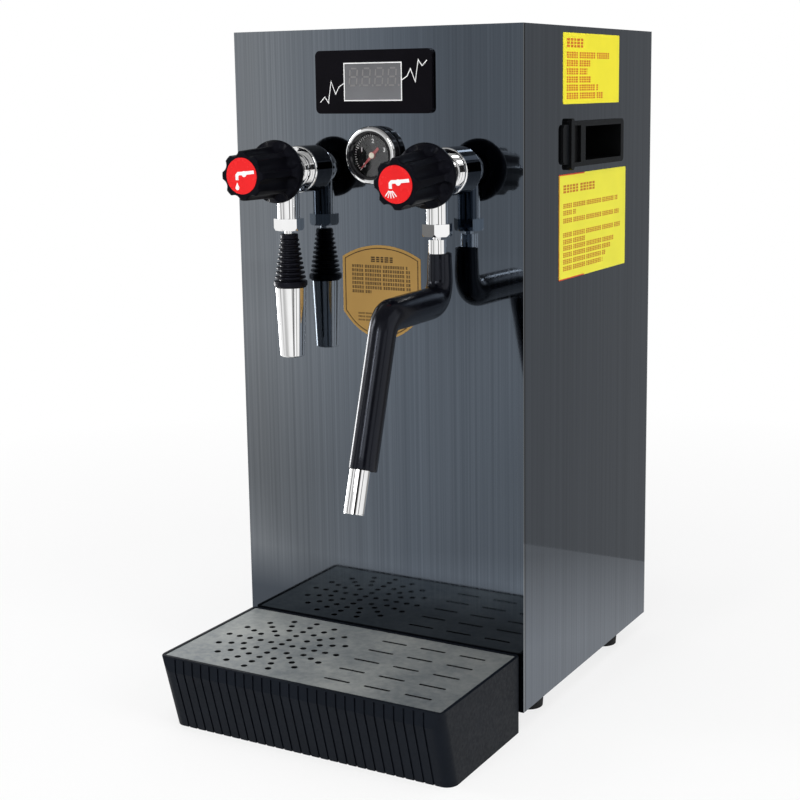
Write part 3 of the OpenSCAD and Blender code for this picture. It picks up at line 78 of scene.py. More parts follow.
def arc(cx, cy, r, start, end, steps):
    turns = [math.radians(start + (end - start) * i / steps) for i in range(steps + 1)]
    return [(cx + r * math.cos(t), cy + r * math.sin(t)) for t in turns]


def allRound(columns):
    return [2 * math.pi * j / columns for j in range(columns)]


def sized(*points):  # points written in millimetres
    return [(x * mm, y * mm) for x, y in points]


def middleOf(node):
    low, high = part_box(node)
    return [(low[i] + high[i]) / 2 for i in range(3)]


def turnBy(degrees, axis):
    return Matrix.Rotation(math.radians(degrees), 4, axis)


def planeFrame(right, up, origin):
    right, up = Vector(right), Vector(up)
    out = right.cross(up)
    place = Matrix((right, up, out)).transposed().to_4x4()
    place.translation = Vector(origin)
    return place


def frontFrame(x, y, z):  # a plane that looks out to the front
    return planeFrame((1, 0, 0), (0, 0, 1), (x, y, z))


def frontOf(carrier, node, up=0):  # a plane on the carrier's front face, over the middle of a node
    middle = middleOf(node)
    return frontFrame(middle[0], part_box(carrier)[0].y, middle[2] + up)


def gridFaces(rows, columns, closed=True):
    faces = []
    for i in range(rows - 1):
        low, high = i * columns, (i + 1) * columns
        for j in range(columns if closed else columns - 1):
            k = (j + 1) % columns
            faces.append((low + j, low + k, high + k, high + j))
    return faces


def turned(profile, place, steps):  # a closed profile of radius and height about the frame's third axis
    verts = []
    for r, h in profile:
        verts += [place @ Vector((r * math.cos(t), r * math.sin(t), h)) for t in allRound(steps)]
    last = (len(profile) - 1) * steps
    faces = gridFaces(len(profile), steps)
    faces += [(last + j, last + (j + 1) % steps, (j + 1) % steps, j) for j in range(steps)]
    return verts, faces


def slab(outline, place, layer):  # a flat plate between two heights
    n = len(outline)
    verts = [place @ Vector((x, y, h)) for h in layer for x, y in outline]
    faces = [tuple(range(n))[::-1], tuple(range(n, 2 * n))]
    faces += [(i, (i + 1) % n, n + (i + 1) % n, n + i) for i in range(n)]
    return verts, faces


def joined(parts):
    verts, faces = [], []
    for partVerts, partFaces in parts:
        start = len(verts)
        verts += partVerts
        faces += [tuple(start + i for i in face) for face in partFaces]
    return verts, faces


mitreLimit = 0.35  # sharper corners of a stroke are cut short


def stroke(points, width, place, layer, closed=False):  # a line of even width with mitred corners
    pts = [Vector(p).to_2d() for p in points]
    n = len(pts)
    count = n if closed else n - 1
    ways = [(pts[(i + 1) % n] - pts[i]).normalized() for i in range(count)]
    normals = [Vector((-way.y, way.x)) for way in ways]
    left, right = [], []
    for i, p in enumerate(pts):
        near = [normals[k] for k in (i - 1, i) if closed or 0 <= k < count]
        side = sum(near, Vector((0, 0))).normalized()
        reach = width / 2 / max(side.dot(near[0]), mitreLimit)
        left.append(p + side * reach)
        right.append(p - side * reach)
    parts = []
    for i in range(count):
        k = (i + 1) % n
        parts.append(slab([right[i], right[k], left[k], left[i]], place, layer))
    return joined(parts)


def roundedBox(w, h, r, steps=6):
    x, y = w / 2 - r, h / 2 - r
    corners = ((x, y, 0), (-x, y, 90), (-x, -y, 180), (x, -y, 270))
    return [p for cx, cy, a in corners for p in arc(cx, cy, r, a, a + 90, steps)]


# Material helpers

def startMaterial(name, roughness=0.5, metallic=0.0, specular=0.5):
    material = bpy.data.materials.new(name)
    material.use_nodes = True
    tree = material.node_tree
    shader = tree.nodes["Principled BSDF"]
    shader.inputs["Roughness"].default_value = roughness
    shader.inputs["Metallic"].default_value = metallic
    shader.inputs["Specular IOR Level"].default_value = specular
    return material, tree, shader


def paint(tree, shader, color, roughness=None):
    tree.links.new(color, shader.inputs["Base Color"])
    if roughness is not None:
        tree.links.new(roughness, shader.inputs["Roughness"])


def coords(tree, stretch=(1, 1, 1)):
    place = tree.nodes.new("ShaderNodeTexCoord")
    mapping = tree.nodes.new("ShaderNodeMapping")
    mapping.inputs["Scale"].default_value = stretch
    tree.links.new(place.outputs["Object"], mapping.inputs["Vector"])
    return mapping.outputs["Vector"]


def axisPlace(tree, axis):
    parts = tree.nodes.new("ShaderNodeSeparateXYZ")
    tree.links.new(coords(tree), parts.inputs["Vector"])
    return parts.outputs[axis]


def faceTurn(tree, axis):  # how far a face looks along an axis of the part
    place = tree.nodes.new("ShaderNodeTexCoord")
    parts = tree.nodes.new("ShaderNodeSeparateXYZ")
    tree.links.new(place.outputs["Normal"], parts.inputs["Vector"])
    return parts.outputs[axis]


def facing(tree, axis):  # the same, either way along the axis
    return math2(tree, "ABSOLUTE", faceTurn(tree, axis), 0)


def noise(tree, scale, detail, stretch=(1, 1, 1)):
    node = tree.nodes.new("ShaderNodeTexNoise")
    node.inputs["Scale"].default_value = scale
    node.inputs["Detail"].default_value = detail
    tree.links.new(coords(tree, stretch), node.inputs["Vector"])
    return node.outputs["Fac"]


def ramp(tree, fac, places, colors):
    node = tree.nodes.new("ShaderNodeValToRGB")
    marks = node.color_ramp.elements
    while len(marks) < len(places):
        marks.new(0.5)
    for mark, place, color in zip(marks, places, colors):
        mark.position = place
        mark.color = (*color, 1)
    tree.links.new(fac, node.inputs["Fac"])
    return node.outputs["Color"]


def spread(tree, fac, low, high, start=0.3, end=0.7):
    node = tree.nodes.new("ShaderNodeMapRange")
    node.inputs["From Min"].default_value = start
    node.inputs["From Max"].default_value = end
    node.inputs["To Min"].default_value = low
    node.inputs["To Max"].default_value = high
    tree.links.new(fac, node.inputs["Value"])
    return node.outputs["Result"]


def math2(tree, operation, a, b):
    node = tree.nodes.new("ShaderNodeMath")
    node.operation = operation
    for socket, value in zip(node.inputs, (a, b)):
        if isinstance(value, (int, float)):
            socket.default_value = value
        else:
            tree.links.new(value, socket)
    return node.outputs["Value"]


def times(tree, a, b):
    return math2(tree, "MULTIPLY", a, b)


def over(tree, value, limit):
    return math2(tree, "GREATER_THAN", value, limit)


def under(tree, value, limit):
    return math2(tree, "LESS_THAN", value, limit)


def mixed(tree, a, b, share):  # two values, the first with the given share
    return math2(tree, "ADD", times(tree, a, share), times(tree, b, 1 - share))


def blendColor(tree, fac, a, b):
    node = tree.nodes.new("ShaderNodeMix")
    node.data_type = "RGBA"
    tree.links.new(fac, node.inputs["Factor"])
    colorInputs = [s for s in node.inputs if s.type == "RGBA"]
    for socket, value in zip(colorInputs, (a, b)):
        if isinstance(value, tuple):
            socket.default_value = (*value, 1)
        else:
            tree.links.new(value, socket)
    return [s for s in node.outputs if s.type == "RGBA"][0]


def bump(tree, shader, fac, depth, strength):
    node = tree.nodes.new("ShaderNodeBump")
    node.inputs["Distance"].default_value = depth
    node.inputs["Strength"].default_value = strength
    tree.links.new(fac, node.inputs["Height"])
    tree.links.new(node.outputs["Normal"], shader.inputs["Normal"])


def scaled(color, share):
    return tuple(c * share for c in color)


mottleStops = (0.3, 0.7)


def mottle(tree, cloud, color, vary):  # a little darker and lighter with the cloud
    return ramp(tree, cloud, mottleStops, (scaled(color, 1 - vary), scaled(color, 1 + vary)))


# Finishes

caseFinish = {
    "tones": ((0.134, 0.156, 0.188), (0.184, 0.212, 0.252)), "edge": (0.36, 0.39, 0.42), "edgeOn": 0.9,
    # greyer and bluer give a painted reflection across the front panel, shade gives painted shade above
    # the tray
    "greyer": ((0.142, 0.155, 0.17), (0.195, 0.211, 0.23)),
    "bluer": ((0.13, 0.156, 0.192), (0.178, 0.212, 0.258)), "paintedReflectionFrom": (-110 * mm, 30 * mm),
    "shade": 0.55, "shadeFrom": (80 * mm, 116 * mm), "seamShade": (0.012, 0.013, 0.015), "seamWidth": 1.6 * mm,
    "fine": (620, 620, 2.2), "wide": (60, 60, 0.4), "fineShare": 0.86, "stops": (0.32, 0.68),
    "roughness": (0.025, 0.075)}


def brushedCase(name, tone=1.0, edgeAxis=None, front=False, seamShade=False):
    look = caseFinish
    material, tree, shader = startMaterial(name, metallic=1.0)
    fine = noise(tree, 1, 4, look["fine"])
    brush = mixed(tree, fine, noise(tree, 1, 2, look["wide"]), look["fineShare"])
    tones = [scaled(color, tone) for color in look["tones"]]
    if front:  # painted reflection, bluer to the right, and painted shade just above the tray
        sides = [ramp(tree, brush, look["stops"], look[key]) for key in ("greyer", "bluer")]
        color = blendColor(tree, spread(tree, axisPlace(tree, "X"), 0, 1, *look["paintedReflectionFrom"]), *sides)
        low = spread(tree, axisPlace(tree, "Z"), 1, 0, *look["shadeFrom"])
        color = blendColor(tree, low, color, scaled(tones[0], look["shade"]))
    else:
        color = ramp(tree, brush, look["stops"], tones)
    if edgeAxis:
        color = blendColor(tree, over(tree, facing(tree, edgeAxis), look["edgeOn"]), color, look["edge"])
    if seamShade:  # painted shade in the gap behind the front panel
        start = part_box("right_side_panel")[0].y
        y = axisPlace(tree, "Y")
        gap = times(tree, over(tree, y, start), under(tree, y, start + look["seamWidth"]))
        color = blendColor(tree, gap, color, look["seamShade"])
    paint(tree, shader, color, spread(tree, fine, *look["roughness"]))
    return material


metals = {
    "chrome": {"color": (0.9, 0.9, 0.9), "vary": 0.03, "roughness": (0.02, 0.05), "grain": 60},
    "frameSteel": {"color": (0.52, 0.53, 0.54), "vary": 0.1, "roughness": (0.3, 0.5), "grain": 120},
    "fastenerSteel": {"color": (0.6, 0.6, 0.6), "vary": 0.1, "roughness": (0.2, 0.35), "grain": 300},
    "tankSteel": {"color": (0.6, 0.61, 0.62), "vary": 0.08, "roughness": (0.22, 0.4), "grain": 40},
    "heaterSteel": {"color": (0.36, 0.35, 0.34), "vary": 0.12, "roughness": (0.35, 0.55), "grain": 90},
    "brass": {"color": (0.66, 0.47, 0.2), "vary": 0.12, "roughness": (0.2, 0.36), "grain": 160},
    "copper": {"color": (0.72, 0.36, 0.21), "vary": 0.16, "roughness": (0.2, 0.42), "grain": 60}}
paintedPanelReflections = {  # painted reflection of the dark panel, darker on the chrome that faces the panel
    "tapChrome": {"between": (0.02, 0.4), "color": (0.16, 0.18, 0.21)},
    "nutChrome": {"between": (-0.12, 0.05), "color": (0.42, 0.46, 0.5)}}
# painted reflection of the dark panel on chrome sides close to it
flangePaintedReflection = {"reach": 10.6 * mm, "sideOn": 0.5, "color": (0.035, 0.04, 0.05)}


def metal(name):
    paintedPanelReflection = paintedPanelReflections.get(name)
    look = metals["chrome" if paintedPanelReflection else name]
    material, tree, shader = startMaterial(name, metallic=1.0)
    cloud = noise(tree, look["grain"], 4)
    color = mottle(tree, cloud, look["color"], look["vary"])
    if paintedPanelReflection:
        # painted reflection of the dark panel on faces that look towards it and on sides close to it
        away = spread(tree, faceTurn(tree, "Y"), 0, 1, *paintedPanelReflection["between"])
        color = blendColor(tree, away, color, paintedPanelReflection["color"])
        near = over(tree, axisPlace(tree, "Y"), panelY - flangePaintedReflection["reach"])
        side = under(tree, facing(tree, "Y"), flangePaintedReflection["sideOn"])
        color = blendColor(tree, times(tree, near, side), color, flangePaintedReflection["color"])
    paint(tree, shader, color, spread(tree, cloud, *look["roughness"]))
    return material


bezelFinish = {"rim": 3.4 * mm, "frontOn": 0.3, "ring": (0.006, 0.006, 0.007), "grain": 60,
               "bright": ((0.84, 0.85, 0.86), (0.93, 0.93, 0.93)), "roughness": (0.03, 0.07)}


def bezelChrome(name):  # bright rim with a black ring inside it
    look = bezelFinish
    material, tree, shader = startMaterial(name)
    low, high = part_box("gauge_bezel")
    middle = middleOf("gauge_bezel")
    x = math2(tree, "SUBTRACT", axisPlace(tree, "X"), middle[0])
    z = math2(tree, "SUBTRACT", axisPlace(tree, "Z"), middle[2])
    r = math2(tree, "SQRT", math2(tree, "ADD", times(tree, x, x), times(tree, z, z)), 0)
    outer = over(tree, r, (high.x - low.x) / 2 - look["rim"])
    rim = times(tree, outer, over(tree, facing(tree, "Y"), look["frontOn"]))
    cloud = noise(tree, look["grain"], 4)
    color = blendColor(tree, rim, look["ring"], ramp(tree, cloud, mottleStops, look["bright"]))
    paint(tree, shader, color, spread(tree, cloud, *look["roughness"]))
    tree.links.new(rim, shader.inputs["Metallic"])
    return material


plastics = {
    "knobPlastic": {"color": (0.0026, 0.0026, 0.0042), "vary": 0.25, "roughness": (0.34, 0.46),
                    "specular": 0.09, "tint": (0.72, 0.78, 1.0), "grain": 900, "depth": 0.03 * mm},
    "sleeveBlack": {"color": (0.0018, 0.0019, 0.0036), "vary": 0.25, "roughness": (0.16, 0.22),
                    "specular": 0.3, "tint": (0.78, 0.84, 1.0), "grain": 160, "depth": 0.03 * mm},
    "bootRubber": {"color": (0.003, 0.003, 0.0052), "vary": 0.3, "roughness": (0.3, 0.42),
                   "specular": 0.18, "tint": (0.78, 0.82, 1.0), "grain": 700, "depth": 0.04 * mm},
    "footRubber": {"color": (0.01, 0.01, 0.0105), "vary": 0.3, "roughness": (0.6, 0.8),
                   "specular": 0.25, "grain": 500, "depth": 0.06 * mm},
    "sealRubber": {"color": (0.012, 0.012, 0.013), "vary": 0.3, "roughness": (0.55, 0.75),
                   "specular": 0.3, "grain": 500, "depth": 0.04 * mm},
    "cupBlack": {"color": (0.00506, 0.0066, 0.00858), "vary": 0.0909, "roughness": (0.36, 0.46),
                 "specular": 0.16, "grain": 800, "depth": 0.04 * mm},
    "displayPlastic": {"color": (0.0042, 0.0038, 0.0054), "vary": 0.12, "roughness": (0.06, 0.1),
                       "specular": 0.04, "grain": 50, "depth": 0.01 * mm},
    "gaugeBody": {"color": (0.012, 0.0125, 0.013), "vary": 0.2, "roughness": (0.4, 0.5),
                  "specular": 0.35, "grain": 500, "depth": 0.03 * mm},
    "needleRed": {"color": (0.42, 0.06, 0.06), "vary": 0.1, "roughness": (0.4, 0.5),
                  "specular": 0.4, "grain": 500, "depth": 0.01 * mm},
    "badgeRed": {"color": (0.74, 0.011, 0.013), "vary": 0.05, "roughness": (0.22, 0.3),
                 "specular": 0.2, "grain": 120, "depth": 0.01 * mm},
    "trayPlastic": {"color": (0.0034, 0.005, 0.0084), "vary": 0.14, "roughness": (0.42, 0.56),
                    "specular": 0.14, "tint": (0.72, 0.82, 1.0), "grain": 420, "depth": 0.05 * mm},
    "valvePlastic": {"color": (0.66, 0.63, 0.55), "vary": 0.06, "roughness": (0.4, 0.5),
                     "specular": 0.45, "grain": 300, "depth": 0.03 * mm},
    "pumpPaint": {"color": (0.03, 0.05, 0.1), "vary": 0.12, "roughness": (0.35, 0.5),
                  "specular": 0.45, "grain": 260, "depth": 0.05 * mm},
    "probeCeramic": {"color": (0.8, 0.78, 0.7), "vary": 0.05, "roughness": (0.3, 0.4),
                     "specular": 0.5, "grain": 200, "depth": 0.02 * mm},
    "rockerRed": {"color": (0.5, 0.014, 0.012), "vary": 0.08, "roughness": (0.28, 0.36),
                  "specular": 0.45, "grain": 300, "depth": 0.02 * mm},
    "signWhite": {"color": (0.82, 0.82, 0.82), "vary": 0.03, "roughness": (0.4, 0.5),
                  "specular": 0.35, "grain": 400, "depth": 0.01 * mm},
    "hubCream": {"color": (0.8, 0.76, 0.62), "vary": 0.05, "roughness": (0.3, 0.4),
                 "specular": 0.4, "grain": 400, "depth": 0.01 * mm},
    "digitGrey": {"color": (0.17, 0.165, 0.168), "vary": 0.06, "roughness": (0.3, 0.4),
                  "specular": 0.3, "grain": 400, "depth": 0.01 * mm}}
moulding = {"cloud": 35, "bump": 0.6}
cupPaintedShade = {"depth": 1.6 * mm, "sideOn": 0.5, "color": (0.0022, 0.0025, 0.003)}


def plastic(name):
    look = plastics[name]
    material, tree, shader = startMaterial(name, specular=look["specular"])
    shader.inputs["Specular Tint"].default_value = (*look.get("tint", (1, 1, 1)), 1)
    color = mottle(tree, noise(tree, moulding["cloud"], 3), look["color"], look["vary"])
    if name == "cupBlack":  # painted shade, nearly black in its recess and on the walls
        out = math2(tree, "ABSOLUTE", axisPlace(tree, "X"), 0)
        hollow = under(tree, out, sideX + cupPaintedShade["depth"])
        shadedWall = under(tree, facing(tree, "X"), cupPaintedShade["sideOn"])
        color = blendColor(tree, math2(tree, "MAXIMUM", hollow, shadedWall), color, cupPaintedShade["color"])
    grain = noise(tree, look["grain"], 3)
    paint(tree, shader, color, spread(tree, grain, *look["roughness"]))
    bump(tree, shader, grain, look["depth"], moulding["bump"])
    return material


grilleFinish = {
    "tones": ((0.115, 0.13, 0.14), (0.25, 0.26, 0.252)), "sides": (1.75, 0.95), "stops": (0.34, 0.66),
    "smudge": 16, "grain": 240, "smudgeShare": 0.6, "metallic": 0.35, "roughness": (0.42, 0.56),
    "holeShadeUnder": 0.5, "cut": (0.012, 0.013, 0.014)}


def satinGrille(name):  # pressed stainless sheet with a soft, slightly smudged face, painted lighter to the left, with painted shade in its holes
    look = grilleFinish
    material, tree, shader = startMaterial(name, metallic=look["metallic"])
    smudge, grain = noise(tree, look["smudge"], 2), noise(tree, look["grain"], 3)
    cloud = mixed(tree, smudge, grain, look["smudgeShare"])
    sides = []
    for share in look["sides"]:
        tones = [scaled(color, share) for color in look["tones"]]
        sides.append(ramp(tree, cloud, look["stops"], tones))
    low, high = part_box("drip_grille")
    # painted light: lighter at the left, darker at the right
    face = blendColor(tree, spread(tree, axisPlace(tree, "X"), 0, 1, low.x, high.x), *sides)
    # painted shade: the cut colour makes the hole walls and other faces that do not look up near black
    color = blendColor(tree, under(tree, faceTurn(tree, "Z"), look["holeShadeUnder"]), face, look["cut"])
    paint(tree, shader, color, spread(tree, cloud, *look["roughness"]))
    return material


windowFinish = {"tones": ((0.15, 0.153, 0.163), (0.112, 0.112, 0.118)), "stops": (0.2, 0.8), "grain": 60,
                "grainShare": 0.5, "roughness": 0.16, "specular": 0.3}


def windowGlass(name):  # the grey face of the display, a little lighter low down
    look = windowFinish
    material, tree, shader = startMaterial(name, roughness=look["roughness"], specular=look["specular"])
    low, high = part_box("display_window")
    height = spread(tree, axisPlace(tree, "Z"), 0, 1, low.z, high.z)
    cloud = mixed(tree, noise(tree, look["grain"], 2), height, look["grainShare"])
    paint(tree, shader, ramp(tree, cloud, look["stops"], look["tones"]))
    return material


dialFinishAndPaintedLight = {"left": (0.004, 0.0045, 0.005), "right": (0.05, 0.05, 0.054), "grain": 160,
              "between": (-6 * mm, 0.5 * mm), "stray": 3 * mm, "roughness": 0.5, "specular": 0.05}


def gaugeFace(name):  # painted light, black at the left and greyer at the right
    look = dialFinishAndPaintedLight
    material, tree, shader = startMaterial(name, roughness=look["roughness"], specular=look["specular"])
    x = math2(tree, "SUBTRACT", axisPlace(tree, "X"), middleOf("gauge_dial")[0])
    stray = spread(tree, noise(tree, look["grain"], 2), -look["stray"], look["stray"])
    share = spread(tree, math2(tree, "ADD", x, stray), 0, 1, *look["between"])
    paint(tree, shader, blendColor(tree, share, look["left"], look["right"]))
    return material


glassFinish = {"tones": ((0.96, 0.97, 0.97), (1, 1, 1)), "grain": 80, "bend": 1.45, "roughness": 0.02,
               "specular": 0.05}


def clearGlass(name):
    look = glassFinish
    material, tree, shader = startMaterial(name, roughness=look["roughness"], specular=look["specular"])
    shader.inputs["Transmission Weight"].default_value = 1.0
    shader.inputs["IOR"].default_value = look["bend"]
    paint(tree, shader, ramp(tree, noise(tree, look["grain"], 2), mottleStops, look["tones"]))
    return material


boardFinish = {"tones": ((0.35, 0.3, 0.12), (0.012, 0.07, 0.03)), "stops": (0.2, 0.3), "cells": 240,
               "roughness": 0.4}


def circuitBoard(name):
    look = boardFinish
    material, tree, shader = startMaterial(name, roughness=look["roughness"])
    cells = tree.nodes.new("ShaderNodeTexVoronoi")
    cells.inputs["Scale"].default_value = look["cells"]
    tree.links.new(coords(tree), cells.inputs["Vector"])
    paint(tree, shader, ramp(tree, cells.outputs["Distance"], look["stops"], look["tones"]))
    return material


sharedFinishes = {
    "chrome": ["spout_pipe", "spout_nozzle", "wand_ferrule", "wand_pipe", "wand_tip"],
    "tapChrome": ["water_tap_body", "steam_tap_body", "water_tap_bonnet", "steam_tap_bonnet"],
    "nutChrome": ["union_nuts"],
    "frameSteel": ["base_plate", "boiler_stand"],
    "fastenerSteel": ["foot_bolts", "case_screws", "lid_bolts", "drain_outlet"],
    "tankSteel": ["boiler_tank", "boiler_lid"],
    "heaterSteel": ["heating_element"],
    "brass": ["water_spindle", "steam_spindle", "tap_locknuts", "safety_valve", "water_inlet"],
    "copper": ["water_draw_pipe", "steam_draw_pipe", "gauge_pipe"],
    "knobPlastic": ["water_knob", "steam_knob"],
    "sleeveBlack": ["wand_sleeve"],
    "bootRubber": ["spout_boot"],
    "footRubber": ["rubber_feet"],
    "sealRubber": ["water_valve_plug", "steam_valve_plug", "cable_gland", "switch_frame"],
    "cupBlack": ["left_hand_cup", "right_hand_cup"],
    "displayPlastic": ["display_bezel"],
    "gaugeBody": ["gauge_case"],
    "needleRed": ["gauge_needle"],
    "badgeRed": ["water_knob_badge", "steam_knob_badge"],
    "trayPlastic": ["drip_tray"],
    "valvePlastic": ["inlet_valve"],
    "pumpPaint": ["feed_pump"],
    "probeCeramic": ["level_probes"],
    "rockerRed": ["switch_rocker"]}
finishes = {name: metal(name) for name in (*metals, *paintedPanelReflections)}
finishes.update({name: plastic(name) for name in plastics})
nodeSkins = {node: finishes[name] for name, nodes in sharedFinishes.items() for node in nodes}
nodeSkins.update({
    "front_panel": brushedCase("caseFront", edgeAxis="X", front=True),
    # painted shade: the same steel in darker copies on the side, top and back panels
    "right_side_panel": brushedCase("caseRight", tone=0.95, seamShade=True),
    "left_side_panel": brushedCase("caseLeft", tone=0.9),
    "back_panel": brushedCase("caseBack", tone=0.85, edgeAxis="X"),
    "top_cover": brushedCase("caseTop", tone=0.95),
    "drip_grille": satinGrille("grilleSteel"),
    "display_window": windowGlass("displayGlass"),
    "display_board": circuitBoard("circuitBoard"),
    "control_board": circuitBoard("controlBoard"),
    "gauge_bezel": bezelChrome("bezelChrome"),
    "gauge_dial": gaugeFace("gaugeFace"),
    "gauge_glass": clearGlass("gaugeGlass")})
for node, material in nodeSkins.items():
    slots = frame["nodes"][node].data.materials
    slots.clear()
    slots.append(material)
print("finishes on the frame:", len(nodeSkins))


# Knobs with soft flutes

knobShape = {
    "back": 10.5 * mm, "length": 49 * mm, "collarR": 23.75 * mm, "collarH": 12 * mm, "foot": 4 * mm,
    "turn": 5 * mm, "shoulder": 6.5 * mm, "shoulderH": 5.5 * mm, "neck": (0.9 * mm, 0.2 * mm),
    "neckStep": 0.6 * mm, "gripR": 19.25 * mm, "faceR": 18.2 * mm, "edge": 1.6 * mm, "flutes": 8,
    "fluteR": 6 * mm, "fluteAxis": 21.8 * mm, "fluteStart": 13.5 * mm, "soft": 0.9 * mm,
    "boreR": 12.45 * mm, "boreH": 19 * mm, "hubR": 4.1 * mm, "hubH": 42 * mm, "badgeR": 13.4 * mm,
    "badgeDepth": 1.4 * mm, "coreR": 0.2 * mm, "columns": 288, "rows": 26, "crowd": 1.8, "sharp": 50}


def valvePlace(side):
    joint = joints[side + "_knob_turn"]
    out = Vector(joint["axis"]).normalized()
    right = Vector((1, 0, 0))
    return planeFrame(right, out.cross(right), joint["pos_m"])


def softLess(a, b, soft):
    h = max(soft - abs(a - b), 0) / soft
    return min(a, b) - h * h * soft / 4


def fluteCut(angle, h):
    shape = knobShape
    gap = max(shape["fluteStart"] - h, 0)
    if gap >= shape["fluteR"]:
        return None
    r = math.sqrt(shape["fluteR"] ** 2 - gap ** 2)
    across = shape["fluteAxis"] * math.sin(angle)
    if abs(across) >= r:
        return None
    return shape["fluteAxis"] * math.cos(angle) - math.sqrt(r * r - across * across)


def knobProfile():
    shape = knobShape
    collar, top, grip, face = shape["collarR"], shape["collarH"], shape["gripR"], shape["faceR"]
    turn, shoulder, step, edge = shape["turn"], shape["shoulder"], shape["neckStep"], shape["edge"]
    rows = [(collar - shape["foot"], 0)]
    rows += arc(collar - turn, turn, turn, -70, 0, 7)
    rows += arc(collar - shoulder, shape["shoulderH"], shoulder, 4, 52, 14)
    rows += [(grip + shape["neck"][0], top - step), (grip + shape["neck"][1], top + step)]
    start, end = top + 2 * step, shape["length"] - edge
    for i in range(1, shape["rows"] + 1):
        h = start + (end - start) * (i / shape["rows"]) ** shape["crowd"]  # closer where the flutes begin
        rows.append((grip + (face - grip) * (h - top) / (end - top), h))
    return rows + arc(face - edge, end, edge, 15, 90, 6)


def knobPiece(side):
    shape = knobShape
    place = valvePlace(side)
    front, edge, core = shape["length"], shape["edge"], shape["coreR"]
    seat = front - shape["badgeDepth"]
    outer = knobProfile()
    inner = [(shape["badgeR"], front), (shape["badgeR"], seat), (core, seat)]
    rear = [(core, shape["hubH"]), (shape["hubR"], shape["hubH"]), (shape["hubR"], shape["boreH"]),
            (shape["boreR"], shape["boreH"]), (shape["boreR"], 0)]
    rows = rear + outer + inner
    pitch = 2 * math.pi / shape["flutes"]
    verts = []
    for r, h in rows:
        lift = max(edge - (front - h), 0)
        rim = edge - math.sqrt(max(edge ** 2 - lift ** 2, 0))
        for t in allRound(shape["columns"]):
            turn = (t % pitch) - pitch / 2  # from the middle of the nearest flute
            cut = fluteCut(turn, h) if (r, h) in outer else None
            radius = r if cut is None else softLess(r, cut - rim, shape["soft"])
            verts.append(place @ Vector((radius * math.cos(t), radius * math.sin(t), shape["back"] + h)))
    faces = gridFaces(len(rows), shape["columns"])
    piece = addPiece(side + "_knob_grip", verts, faces, finishes["knobPlastic"],
                     side + "_knob")
    sharpen(piece, shape["sharp"])
    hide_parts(side + "_knob")


for side in ("water", "steam"):
    knobPiece(side)
print("knobs made")


# Signs on the red badges: a plain tap with a drop, and one with jets of steam

signShape = {
    "layer": (59.85 * mm, 60.02 * mm), "tapWidth": 2.5 * mm,
    "tap": sized((11.2, 3.0), (1.6, 2.0), (-2.6, 1.8), (-3.9, 0.5), (-3.9, -3.0)),
    "handle": (2.4 * mm, 1.5 * mm, 2.2 * mm), "handleProud": 0.02 * mm,
    "drop": (-3.9 * mm, -8.6 * mm, 1.7 * mm), "dropTip": 2.3, "jets": 5, "jetLean": 0.34,
    "jetFrom": (-3.9 * mm, -4.0 * mm), "jetApart": 1.5 * mm, "jet": (0.6 * mm, 5.6 * mm),
    "jetWidth": 0.75 * mm}


def badgeSign(side):
    look = signShape
    place, layer = valvePlace(side), look["layer"]
    handle = arc(*look["handle"], 0, 345, 22)
    parts = [stroke(look["tap"], look["tapWidth"], place, layer),
             slab(handle, place, (layer[0], layer[1] + look["handleProud"]))]
    if side == "water":
        x, y, r = look["drop"]
        parts.append(slab(arc(x, y, r, -215, 35, 14) + [(x, y + look["dropTip"] * r)], place, layer))
    else:
        for i in range(look["jets"]):
            lean = (i - (look["jets"] - 1) / 2) * look["jetLean"]
            start = Vector((look["jetFrom"][0] + look["jetApart"] * lean, look["jetFrom"][1]))
            ends = [start + Vector((math.sin(lean), -math.cos(lean))) * k for k in look["jet"]]
            parts.append(stroke(ends, look["jetWidth"], place, layer))
    addPrint(side + "_badge_sign", parts, finishes["signWhite"], side + "_knob")


for side in ("water", "steam"):
    badgeSign(side)
print("badge signs made")


# Ribbed boot on the spout

bootShape = {
    "ribs": 9, "foot": 4 * mm, "head": 4 * mm, "topR": 6.75 * mm, "depth": 3.6 * mm, "taper": 1.2,
    "neckR": 5.3 * mm, "boreR": 3.6 * mm, "ribShare": 0.5, "round": 0.65 * mm, "fillet": 0.3 * mm,
    "filletH": (0.02 * mm, 0.35 * mm), "headFillet": 0.4 * mm, "headFilletH": (0.1 * mm, 0.6 * mm),
    "headRound": 1 * mm, "columns": 120, "sharp": 60}


def bootProfile():
    shape = bootShape
    low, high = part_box("spout_boot")
    h, bottomR, topR = high.z - low.z, (high.x - low.x) / 2, shape["topR"]
    foot, head, e = shape["foot"], h - shape["head"], shape["round"]
    pitch = (h - shape["foot"] - shape["head"]) / shape["ribs"]

    def outside(z):
        return bottomR + (topR - bottomR) * z / h

    rows = [(shape["boreR"], 0)] + arc(bottomR - e, e, e, -90, 0, 4)
    rows += arc(bottomR - e, foot - e, e, 0, 90, 4)
    near, far = shape["filletH"]
    for i in range(shape["ribs"]):
        z = foot + i * pitch
        start, end = z + pitch * (1 - shape["ribShare"]), z + pitch
        groove = max(outside(z) - shape["depth"] * (shape["taper"] - z / h), shape["neckR"])
        rows += [(groove + shape["fillet"], z + near), (groove, z + far), (groove, start - far),
                 (groove + shape["fillet"], start - near)]
        r = outside(end)
        rows += arc(r - e, start + e, e, -90, 0, 4) + arc(r - e, end - e, e, 0, 90, 4)
    near, far = shape["headFilletH"]
    rows += [(topR - shape["headFillet"], head + near), (topR, head + far)]
    e = shape["headRound"]
    rows += arc(topR - e, h - e, e, 0, 90, 5) + [(shape["boreR"], h)]
    return [(r, low.z + z) for r, z in rows]


